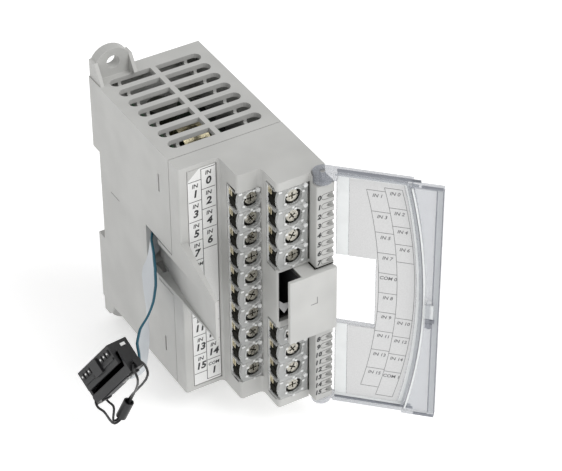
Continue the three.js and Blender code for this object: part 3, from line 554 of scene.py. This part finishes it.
def through_ear(end):
    turns = [(EAR_LONG - 1.2, 6.8, 2.2), (EAR_LONG - 0.1, 4.5, 2.4), (EAR_LONG, 2.5, 1.8),
             (EAR_LONG, 2.1, 0), (EAR_LONG, 2.5, -1.8), (EAR_LONG - 0.1, 4.5, -2.4),
             (EAR_LONG - 1.2, 6.8, -2.2)]
    return [in_plug(l * end, p, s) for l, p, s in turns]


def pull_cord():
    """The thin cord through the crimp and both ears."""
    knees = [LOWER_KNEE + CORD_APART * side for side in (-1, 1)]
    route = [in_crimp(0.5, 1), in_crimp(2.6, 1), in_crimp(4.8, 1), *through_ear(-1)]
    route += [in_crimp(along, -1) for along in (4.8, 2.6, 0, -2.6, -4.4)] + [knees[0]]
    route += through_ear(1)[::-1] + [knees[1]] + [in_crimp(along, 1) for along in (-4.4, -2.6, -0.5)]
    line, _ = smooth_line([(*point, 0, 0, 1) for point in route], 5)
    build = Build()
    build.tube(line, CORD_RADIUS, 10)
    cord = build.piece("plug_pull_cord", "housing", "cord", [GLOSS_BLACK])
    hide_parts("pull_cord")


ribbon_cable()
pull_cord()


# ---------- the door's own coordinates ----------
HINGE_X = 37
HINGE_D = 82.6
DOOR_TURN = math.radians(135.8)


def door_at(x, d, z):
    """From the closed door's place about its hinge, x right and d forward, to where it stands open."""
    across = x * math.cos(DOOR_TURN) + d * math.sin(DOOR_TURN)
    forward = d * math.cos(DOOR_TURN) - x * math.sin(DOOR_TURN)
    return at(HINGE_X + across, HINGE_D + forward, z)


# ---------- printing ----------
PITCH = 7.62
OUT_X = (1, 0, 0)
UP_Z = (0, 0, 1)
OUT_D = (0, 1, 0)
LEFT_TEXTS = ["1", "3", "5", "7", "COM 0", "8", "9", "11", "13", "15"]
RIGHT_TEXTS = ["0", "2", "4", "6", None, "10", "12", "14", "COM 1"]


def cell_text(build, text, x, z, d, size):
    """An input number with its small heading, or a common terminal in two lines."""
    heading, number = ("IN", text) if not text.startswith("COM") else ("COM", text[4:])
    small = size * (0.5 if heading == "IN" else 0.42)
    write(build, heading, small, (x, d, z + size * 0.66), OUT_X, UP_Z, OUT_D, bold=0.02, slant=0.15)
    write(build, number, size * 0.9, (x, d, z - size * 0.4), OUT_X, UP_Z, OUT_D, bold=0.035, slant=0.15)


def label_plate_print():
    """The ruled table of input numbers on the left label, and its grey cut corner."""
    left, middle, right, face, line = 3.4, 7.9, 12.8, 59.3, 0.2
    left_lines = [83.7 - 7.65 * i for i in range(7)] + [30.4, 22.4, 14.4, 6.5]
    right_lines = [87.4, 79.7, 72.0, 64.4, 56.7, 33.8, 26.1, 18.4, 10.7, 2.7]
    build = Build()
    build.box(middle - line / 2, middle + line / 2, face, face + INK_THICK, 2.7, 87.4)
    for z in left_lines:
        build.box(left, middle, face, face + INK_THICK, z - line / 2, z + line / 2)
    for z in right_lines:
        build.box(middle, right, face, face + INK_THICK, z - line / 2, z + line / 2)
    for i, text in enumerate(LEFT_TEXTS):
        cell_text(build, text, (left + middle) / 2, (left_lines[i] + left_lines[i + 1]) / 2, face, 2.9)
    for i, text in enumerate(RIGHT_TEXTS):
        if text:
            middle_z = (right_lines[i] + right_lines[i + 1]) / 2
            cell_text(build, text, (middle + right) / 2, middle_z, face, 2.9)
    build.piece("label_print", "housing", "black_plastic", [INK])
    corner = Build()
    corner.prism([(3.25, 84.3), (3.25, 87.95), (7.2, 87.95)], "d", face, face + 0.04)
    corner.piece("label_corner", "housing", "housing", [HOUSING])


LAMP_X = 36.3
LAMP_FACE = 85
LAMP_NUMBER_X = 34.45
LAMP_HALF = 1.02
LAMP_END_X = 39.7
GROUP_LAMPS = 8
# Each group of indicators: the height of its first one, and the step down to the next.
LAMP_GROUPS = [(82.6, 3.56), (26.6, 3.2)]


def lamp_numbers():
    """The numbers beside the indicators, and the rounded hollow and rim of each."""
    build = Build()
    heights = [first - step * i for first, step in LAMP_GROUPS for i in range(GROUP_LAMPS)]
    for i, z in enumerate(heights):
        write(build, str(i), 1.7, (LAMP_NUMBER_X, LAMP_FACE, z), OUT_X, UP_Z, OUT_D, bold=0.045, slant=0.15)
    build.piece("lamp_numbers", "housing", "black_plastic", [INK])
    hollows, rims = Build(), Build()
    for z in heights:
        hollows.round("d", LAMP_X + 0.25, z, 0.8, LAMP_FACE - 1.0, LAMP_FACE - 0.2, 16)
        hollows.box(LAMP_X, LAMP_X + 1.8, LAMP_FACE - 1.0, LAMP_FACE - 0.4, z - 0.25, z + 0.55)
        arc = [(LAMP_X - math.cos(a) * LAMP_HALF, LAMP_FACE, z + math.sin(a) * LAMP_HALF)
               for a in (math.pi * (k / 10 - 0.5) for k in range(11))]
        low, high = (LAMP_END_X, LAMP_FACE, z - LAMP_HALF), (LAMP_END_X, LAMP_FACE, z + LAMP_HALF)
        rims.tube([low, *arc, high], 0.08, 6)
    hollows.piece("lamp_hollows", "housing", "terminal", [DARK_GREY], 0.1)
    rims.piece("lamp_rims", "housing", "terminal", [DARK_GREY])


def bus_cover_mark():
    """A small plain corner mark on the cover."""
    build = Build()
    face, corner_x, corner_z = 87.4, 32.6, 44.2
    build.box(corner_x - 2.4, corner_x, face, face + INK_THICK, corner_z, corner_z + 0.2)
    build.box(corner_x - 0.2, corner_x, face, face + INK_THICK, corner_z, corner_z + 2.6)
    build.piece("bus_cover_mark", "housing", "black_plastic", [FAINT_INK])


# ---------- terminals ----------
# Each row is given as its left and right edge, its screws' x, and its floor and front depths.
OUTER_HEIGHTS = [MID_Z + PITCH * (4.5 - i) for i in range(10)]
UPPER_HEIGHTS = [MID_Z + PITCH * (5 - i) for i in range(4)]
LOWER_HEIGHTS = [MID_Z + PITCH * (5 - i) for i in range(7, 11)]
HOLE_RADIUS = 3.05
PIP_RING = 3.45
PIPS = 6
GUARD_THICK = 1.2
CORNERS = 32


def cell_outline(x0, x1, z, half, scallop):
    """One guard cell seen from the front: straight on the right, rounded on the left."""
    outline = []
    for i in range(CORNERS):
        a = 2 * math.pi * i / CORNERS
        reach = max(abs(math.cos(a)), abs(math.sin(a)))
        u, v = math.cos(a) / reach, math.sin(a) / reach
        bulge = scallop * (v * v) if u < 0 else 0
        outline.append(((x0 + x1) / 2 + (x1 - x0) / 2 * u + bulge * max(-u, 0), z + half * v))
    return outline


def guard_cell(build, row, z, half=PITCH / 2 - 0.06):
    """A clear cell with a round hole for the screwdriver, a raised collar and a pip at its corner."""
    x0, x1, screw_x, _, front = row
    outer = cell_outline(x0, x1, z, half, 0.9)
    hole = [(screw_x + HOLE_RADIUS * math.cos(2 * math.pi * i / CORNERS),
             z + HOLE_RADIUS * math.sin(2 * math.pi * i / CORNERS)) for i in range(CORNERS)]
    back = front - GUARD_THICK
    points = []
    for (ox, oz), (hx, hz) in zip(outer, hole):
        points += [(ox, back, oz), (ox, front, oz), (hx, front, hz), (hx, back, hz)]
    faces = []
    for i in range(CORNERS):
        here, after = 4 * i, 4 * ((i + 1) % CORNERS)
        faces += [(here + k, after + k, after + (k + 1) % 4, here + (k + 1) % 4) for k in range(4)]
    build.add(points, faces)
    build.ring("d", screw_x, z, (3.5, 3.25), (HOLE_RADIUS + 0.02, HOLE_RADIUS + 0.1),
               front + 0.02, front + 0.35, 28, 0)
    # The pips, the corner button and the small bar are drawn in the brighter clear as painted highlights.
    for turn in range(PIPS):
        a = turn * 2 * math.pi / PIPS + 0.4
        u, v = screw_x + PIP_RING * math.cos(a), z + PIP_RING * math.sin(a)
        if x0 + 1 < u < x1 - 0.5 and abs(v - z) < half - 0.3:
            build.prism([(u - 0.5, v - 0.2), (u + 0.3, v - 0.45), (u + 0.5, v + 0.25), (u - 0.2, v + 0.4)],
                        "d", front + 0.36, front + 0.6, 1)
    build.round("d", x1 - 0.9, z + half - 0.5, 0.75, front + 0.02, front + 0.7, 10, 1)
    build.box(x0 + 0.5, x0 + 1.6, front + 0.02, front + 0.35, z + half - 0.55, z + half - 0.1, 1)


def guard_sides(build, row, heights):
    """Clear fingers down the left side between the wire entries, and the lip along the right."""
    x0, x1, _, floor, front = row
    back = front - GUARD_THICK - 0.1
    for z in [*heights, heights[-1] - PITCH]:
        edge = z + PITCH / 2
        build.box(x0, x0 + 1.0, floor + 0.4, back, edge - 0.75, edge + 0.75, 0)
    top, low = heights[0] + PITCH / 2, heights[-1] - PITCH / 2
    build.box(x1 - 0.7, x1, floor + 0.4, back, low, top, 0)
    # A painted highlight along the foot of the left side.
    build.box(x0 + 0.1, x0 + 0.9, floor + 0.3, floor + 1.1, low, top, 1)


def finger_guards():
    """The three rows of terminals: clear guard, wire entries and screw faces."""
    rows = {
        "outer": ((13.9, 21.8, 19.05, 64.2, 71), OUTER_HEIGHTS),
        "inner_upper": ((22.1, 32.8, 27.9, 74, 80.8), UPPER_HEIGHTS),
        "inner_lower": ((22.1, 32.8, 27.9, 74, 80.8), LOWER_HEIGHTS),
    }
    for name, (row, heights) in rows.items():
        guard = Build()
        for z in heights:
            guard_cell(guard, row, z)
        guard_sides(guard, row, heights)
        piece = guard.piece(f"finger_guard_{name}_clear", "housing", "clear_guard",
                            [GUARD, GUARD_PAINTED_HIGHLIGHT], 0.22)
        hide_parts(f"finger_guard_{name}")
        wire_entries(name, row, heights)
        screw_faces(row, heights, SCREW_NAMES[name])


def wire_entries(name, row, heights):
    """Behind each cell's open side: the brass clamp, painted shade in the dark wire hole, and a painted
    shadow below and left of the screw, seen through the clear guard.
    """
    x0, _, screw_x, floor, front = row
    brass, dark = Build(), Build()
    for z in heights:
        for d0 in (floor + 1.1, floor + 2.2):
            brass.box(x0 + 0.25, x0 + 0.75, d0, d0 + 0.75, z + 0.5, z + 3.5)
        brass.box(screw_x - 2.7, screw_x + 2.7, front - 2.62, front - 2.42, z + 2.5, z + 3.0)
        # Painted shade: a dark sheet and a rounded diamond stand for the shade inside the wire hole.
        dark.box(x0 + 0.45, x0 + 0.9, floor + 0.6, front - 1.45, z - 3.55, z + 3.65)
        dark.prism([(floor + 0.8, z - 1.2), (floor + 3.0, z - 3.3), (front - 1.5, z - 1.6),
                    (front - 1.5, z - 0.4), (floor + 3.2, z + 0.4)], "x", x0 + 0.2, x0 + 0.44)
        # Painted shadow below and left of the screw, seen through the clear guard.
        dark.box(screw_x - 3.8, screw_x + 0.6, front - 1.55, front - 1.3, z - 3.7, z - 2.5)
        dark.box(screw_x - 3.9, screw_x - 2.55, front - 1.55, front - 1.3, z - 3.7, z - 0.6)
    brass.piece(f"wire_clamps_{name}", "housing", "nickel", [BRASS], 0.08)
    dark.piece(f"wire_hole_painted_shade_{name}", "housing", "black_plastic", [PAINTED_SHADE_BLACK], 0.08)


SCREW_NAMES = {
    "outer": ["in_1", "in_3", "in_5", "in_7", "com_0", "in_8", "in_9", "in_11", "in_13", "in_15"],
    "inner_upper": ["in_0", "in_2", "in_4", "in_6"],
    "inner_lower": ["in_10", "in_12", "in_14", "com_1"],
}
FACE_RADIUS = 2.45
FACE_RISE = 0.62
WEDGE_RADIUS = 1.62
WEDGE_SPREAD = 0.62  # half the angle of a wedge
WEDGE_TIP = 0.3
NOTCH_PLACE = 1.9
NOTCH_HALF = 0.3


def screw_faces(row, heights, names):
    """The raised rim of each screw and the four wedges between its cross slots, which turn with it."""
    _, _, screw_x, _, front = row
    base = front - 1.5
    for i, (z, name) in enumerate(zip(heights, names)):
        face = Build()
        face.ring("d", screw_x, z, (FACE_RADIUS, FACE_RADIUS - 0.35), (1.5, 1.2), base, base + FACE_RISE, 28)
        turn = (i * 2.1) % math.pi
        for quarter in range(4):
            a = turn + quarter * math.pi / 2 + math.pi / 4
            tip = (screw_x + WEDGE_TIP * math.cos(a), z + WEDGE_TIP * math.sin(a))
            rim = [(screw_x + WEDGE_RADIUS * math.cos(a + side), z + WEDGE_RADIUS * math.sin(a + side))
                   for side in (-WEDGE_SPREAD, 0, WEDGE_SPREAD)]
            wedge = [tip] + rim
            face.prism(wedge, "d", base, base + FACE_RISE + 0.02)
        # The two ends of the long slot are dark squares of painted shade.
        long_way = (math.cos(turn), math.sin(turn))
        for sign in (-1, 1):
            notch_x = screw_x + sign * NOTCH_PLACE * long_way[0]
            notch_z = z + sign * NOTCH_PLACE * long_way[1]
            face.box(notch_x - NOTCH_HALF, notch_x + NOTCH_HALF, base + FACE_RISE - 0.1,
                     base + FACE_RISE + 0.02, notch_z - NOTCH_HALF, notch_z + NOTCH_HALF, 1)
        face.piece(f"screw_face_{name}", f"screw_{name}", "nickel", [NICKEL, PAINTED_SHADE_BLACK], 0.1)


# ---------- door ----------
DOOR_LOW, DOOR_HIGH = -0.8, 90.8
RIB_RADIUS = 200
RIB_MID_X = -32.2


def rib_x(z, offset=0.0):
    """The curved rib's place along the door at this height."""
    return RIB_MID_X + offset + RIB_RADIUS - math.sqrt(RIB_RADIUS ** 2 - (z - MID_Z) ** 2)


def strip_faces(steps):
    """The sides and ends of a bar whose four-cornered section is repeated at each step."""
    faces = []
    for i in range(steps):
        a = 4 * i
        faces += [(a + k, a + (k + 1) % 4, a + 4 + (k + 1) % 4, a + 4 + k) for k in range(4)]
    return faces + [(0, 1, 2, 3), (4 * steps + 3, 4 * steps + 2, 4 * steps + 1, 4 * steps)]


def curved_strip(build, offset0, offset1, d0, d1, low, high, slot=0, steps=24):
    """An upright strip between two curves that follow the rib."""
    points = []
    for i in range(steps + 1):
        z = low + (high - low) * i / steps
        points += [(rib_x(z, offset0), d0, z), (rib_x(z, offset1), d0, z),
                   (rib_x(z, offset1), d1, z), (rib_x(z, offset0), d1, z)]
    faces = strip_faces(steps)
    build.add(points, faces, slot)


def door_trim():
    """Painted highlight lines and painted shade lines standing for the light in the thick clear rims, and the
    catch at mid height.
    """
    build = Build(door_at)
    for z in (DOOR_LOW - 0.05, DOOR_HIGH - 0.75):
        build.box(-30, -4.2, 1.3, 1.85, z, z + 0.8, 0)
        build.box(-37.2, -30.6, -1.1, -0.6, z, z + 0.8, 0)
    for z in (DOOR_LOW + 1.2, DOOR_HIGH - 2.3):
        build.box(-29.4, -4.2, 1.1, 1.45, z, z + 0.9, 1)
    curved_strip(build, 0.35, 2.3, 1.35, 1.75, 0.8, 89.2, 1)
    curved_strip(build, -0.1, 0.15, -0.85, -0.5, 0.8, 89.2, 0)
    curved_strip(build, -0.75, -0.2, -0.85, -0.5, 0.8, 89.2, 1)
    for low, high in ((1.2, 30.6), (58.4, 88.8)):
        build.box(-8, -4.3, 1.35, 1.75, low, high, 1)
    build.box(-37.3, -35.6, -0.75, -0.45, 0.4, 89.6, 1)
    build.box(-37.5, -37.2, -1.0, 0.7, 0.2, 89.8, 0)
    build.box(-35.5, -35.2, -0.75, -0.45, 0.4, 89.6, 0)
    build.box(-36.2, -33.4, -1.4, -0.8, 38.4, 39.6, 0)
    build.box(-35.8, -33.0, -1.6, -0.8, 40.2, 45.6, 1)
    build.round("d", -34.4, 37.2, 1.2, -1.5, -0.8, 16, 0)
    build.piece("door_trim", "door", "clear_door", [DOOR_PAINTED_SHADE, DOOR_PAINTED_HIGHLIGHT], 0.06)


# The door label's ruled columns, as distances from the hinge at mid height.
COLUMN_EDGES = [17.85, 23.7, 29.2]
COLUMN_RADIUS = 165
COLUMN_BOW_Z = 46.8
LINE_HALF = 0.07
DOOR_PRINT_D = 1.3


def column_x(edge, z):
    """The column lines are all bowed alike, about a point just above mid height."""
    return -edge + COLUMN_RADIUS - math.sqrt(COLUMN_RADIUS ** 2 - (z - COLUMN_BOW_Z) ** 2)


def ruled_column(build, edge, low, high, steps=20):
    """One of the label's bowed upright lines, as thin solid ink."""
    points = []
    for i in range(steps + 1):
        z = low + (high - low) * i / steps
        x = column_x(edge, z)
        points += [(x - LINE_HALF, DOOR_PRINT_D, z), (x + LINE_HALF, DOOR_PRINT_D, z),
                   (x + LINE_HALF, DOOR_PRINT_D - INK_THICK, z), (x - LINE_HALF, DOOR_PRINT_D - INK_THICK, z)]
    faces = strip_faces(steps)
    build.add(points, faces)


def door_label_print():
    """The terminal table on the door's inner side: two ruled columns with the same numbers."""
    build = Build(door_at)
    left_lines = [85 - 7.87 * i for i in range(11)]
    right_lines = [86.5, 79.2, 72.4, 65.6, 58.8, 36.25, 28.7, 21.2, 13.6, 3.0]
    away, inward = (-1, 0, 0), (0, -1, 0)
    for edge, low, high in zip(COLUMN_EDGES, (6.3, 3.0, 3.0), (85, 86.5, 86.5)):
        ruled_column(build, edge, low, high)
    columns = [(left_lines, LEFT_TEXTS, *COLUMN_EDGES[:2]), (right_lines, RIGHT_TEXTS, *COLUMN_EDGES[1:])]
    for lines, texts, near, far in columns:
        for z in lines:
            build.box(column_x(far, z), column_x(near, z), DOOR_PRINT_D - INK_THICK, DOOR_PRINT_D,
                      z - 0.08, z + 0.08)
        for i, text in enumerate(texts):
            if text:
                z = lines[i] - 1.9
                x = (column_x(near, z) + column_x(far, z)) / 2
                words = text if text.startswith("COM") else f"IN {text}"
                write(build, words, 1.25, (x, DOOR_PRINT_D, z), away, UP_Z, inward, bold=0.015, slant=0.25)
    build.piece("door_label_print", "door", "black_plastic", [FAINT_INK])


# ---------- small parts ----------
def plug_details():
    """Windows, latch slots and contact marks on the ribbon plug."""
    def plug_at(l, p, s):
        return at(*in_plug(l, p, s))

    dark, light = Build(plug_at), Build(plug_at)
    for sign in (-1, 1):
        for step in range(3):
            l = sign * (4.0 + 2.1 * step)
            dark.box(l - 0.75, l + 0.75, -6.4, -4.4, 4.1, 4.55)
            light.box(l - 0.3, l + 0.3, -5.7, -5.1, 4.56, 4.62)
        dark.box(sign * 6.2 - 3.2, sign * 6.2 + 3.2, -3.4, -2.6, 4.1, 4.5)
        dark.box(sign * 9.2 - 0.9, sign * 9.2 + 0.9, 3.6, 4.2, -1.6, 1.6)
    dark.box(-7.4, 7.4, 3.6, 3.95, -1.9, 1.9)
    for l in (-6.6, -4.4, -2.9):
        light.box(l - 0.6, l + 0.6, 3.96, 4.02, -1.2, -0.6)
        light.box(l - 0.5, l + 0.3, 3.96, 4.02, 0.2, 0.8)
    light.box(-10.06, -10.0, -6.4, -5.4, -2.6, -0.6)
    light.box(-10.06, -10.0, -4.6, -4.0, -2.6, 0.6)
    dark.piece("plug_ribs", "housing", "black_plastic", [BLACK], 0.12)
    light.piece("plug_marks", "housing", "label_grey", [WHITE_PAINT])


def housing_details():
    """A fine slit moulded in the left wall, drawn as a thin dark strip of painted shade."""
    build = Build()
    build.box(-0.03, 0.02, 11.4, 17.2, 50.9, 51.15)
    build.piece("left_wall_slit_painted_shade", "housing", "terminal", [DARK_GREY])


def winding():
    """Enamelled wire wound round the inductor's ring, which stands upright behind the vents."""
    box_low, box_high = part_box("power_inductor")
    centre = (Vector(box_low) + Vector(box_high)) / 2
    middle = (centre.x * 1000 + WIDTH / 2, SEAT_D - centre.y * 1000, centre.z * 1000 + MID_Z)
    half = (box_high[0] - box_low[0]) * 500
    outer = (box_high[2] - box_low[2]) * 500
    build = Build()
    turns = 22
    for i in range(turns):
        a = 2 * math.pi * i / turns
        out = Vector((0, math.cos(a), math.sin(a)))
        loop = []
        for k in range(17):
            b = 2 * math.pi * k / 16
            loop.append(Vector(middle) + out * (outer - 2.3 + 2.9 * math.cos(b))
                        + Vector((1, 0, 0)) * (half + 0.4) * math.sin(b))
        build.tube(loop, 0.3, 6)
    coil = build.piece("inductor_winding", "housing", "copper", [COPPER])
    smooth(coil)


def gap_lines():
    """Painted shade: dark strips in the clearance round the lamp block, the bus cover and the rows of
    terminals.
    """
    build = Build()
    block_x, row_front, half = 33.4, 80.8, 0.16
    build.box(block_x - 2 * half, block_x, row_front, 84.9, 55.5, 55.9)
    build.box(block_x, 39.6, 84.9, 85.2, 55.85, 56.15)
    build.box(block_x, 39.6, 84.9, 85.2, 31.0, 31.3)
    for low, high in ((3, 33.4), (57.2, 87)):
        build.box(block_x - 2 * half, block_x, row_front, row_front + 0.25, low, high)
    build.piece("clearance_painted_shade", "housing", "black_plastic", [PAINTED_SHADE_BLACK])


def return_spring():
    """The rail latch's coil spring. It rests on the housing's stop."""
    middle_x, middle_d, low, high, travel = 25, 2.8, 7.3, 21.3, 4
    turns, per_turn, radius, wire = 11, 14, 1.0, 0.2
    line = []
    for i in range(turns * per_turn + 1):
        a = 2 * math.pi * i / per_turn
        height = low + wire + (high - low - 2 * wire) * i / (turns * per_turn)
        line.append((middle_x + radius * math.cos(a), middle_d + radius * math.sin(a), height))
    build = Build()
    build.tube(line, wire, 6)
    spring = build.piece("latch_return_spring", "housing", "steel", [STEEL])
    smooth(spring)
    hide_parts("latch_spring")
    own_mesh(spring)


def slot_liner():
    """Carries the ribbon guide's floor and its lower ledge a little further into the slot."""
    build = Build()
    build.prism([(4.5, 37.9), (5.05, 34.9), (5.5, 34.9), (5.2, 37.9)], "z", 38.95, 51.35)
    build.box(0.4, 8, 33, 37.5, 37.3, 38.6)
    build.piece("ribbon_slot_liner", "housing", "housing", [HOUSING])


def bus_arrow():
    """The small light pointer on the black socket."""
    build = Build()
    x, z, d = 22.9, 41.0, 80.2
    build.prism([(x, z + 3.2), (x, z + 0.4), (x + 1.7, z - 2.4), (x + 3.4, z - 0.6), (x + 3.4, z + 1.2),
                 (x + 1.5, z + 1.5)], "d", d, d + 0.2)
    build.piece("socket_pointer", "housing", "label_grey", [GREY_SHEET])


label_plate_print()
lamp_numbers()
bus_cover_mark()
finger_guards()
door_trim()
door_label_print()
plug_details()
housing_details()
winding()
bus_arrow()
gap_lines()
return_spring()
slot_liner()


# ---------- floor and light ----------
FLOOR_GLOW = 0.36  # keeps the ground white in the object's own shade
WORLD_LIGHT = 0.61
# Name, place in metres, width in metres and power in watts. They all point at the origin.
AREA_LIGHTS = [("key", (0.5, -0.8, 1.1), 0.9, 10), ("fill", (-0.9, -0.4, 0.6), 0.6, 0.3)]


def add_floor():
    """A wide white ground at the object's lowest point."""
    low = min(z for z in (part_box(name)[0][2] for name in NODES))
    mesh = bpy.data.meshes.new("floor")
    reach = 3  # metres from the middle to each side
    corners = [(-reach, -reach, low), (reach, -reach, low), (reach, reach, low), (-reach, reach, low)]
    mesh.from_pydata(corners, [], [(0, 1, 2, 3)])
    white = material("floor_white", (0.97, 0.97, 0.97), 0.9)
    shader = white.node_tree.nodes["Principled BSDF"]
    shader.inputs["Emission Color"].default_value = (1, 1, 1, 1)
    shader.inputs["Emission Strength"].default_value = FLOOR_GLOW
    mesh.materials.append(white)
    link_mesh("floor", mesh)


def add_area(name, place, size, power):
    data = bpy.data.lights.new(name, "AREA")
    data.size = size
    data.energy = power
    lamp = bpy.data.objects.new(name, data)
    scene.collection.objects.link(lamp)
    turn = (-Vector(place)).to_track_quat("-Z", "Y")
    lamp.matrix_world = Matrix.Translation(place) @ turn.to_matrix().to_4x4()


def add_world(strength):
    world = bpy.data.worlds.new("studio")
    world.use_nodes = True
    world.node_tree.nodes["Background"].inputs["Color"].default_value = (1, 1, 1, 1)
    world.node_tree.nodes["Background"].inputs["Strength"].default_value = strength
    scene.world = world


add_floor()
add_world(WORLD_LIGHT)
for lamp_name, lamp_place, lamp_size, lamp_power in AREA_LIGHTS:
    add_area(lamp_name, lamp_place, lamp_size, lamp_power)
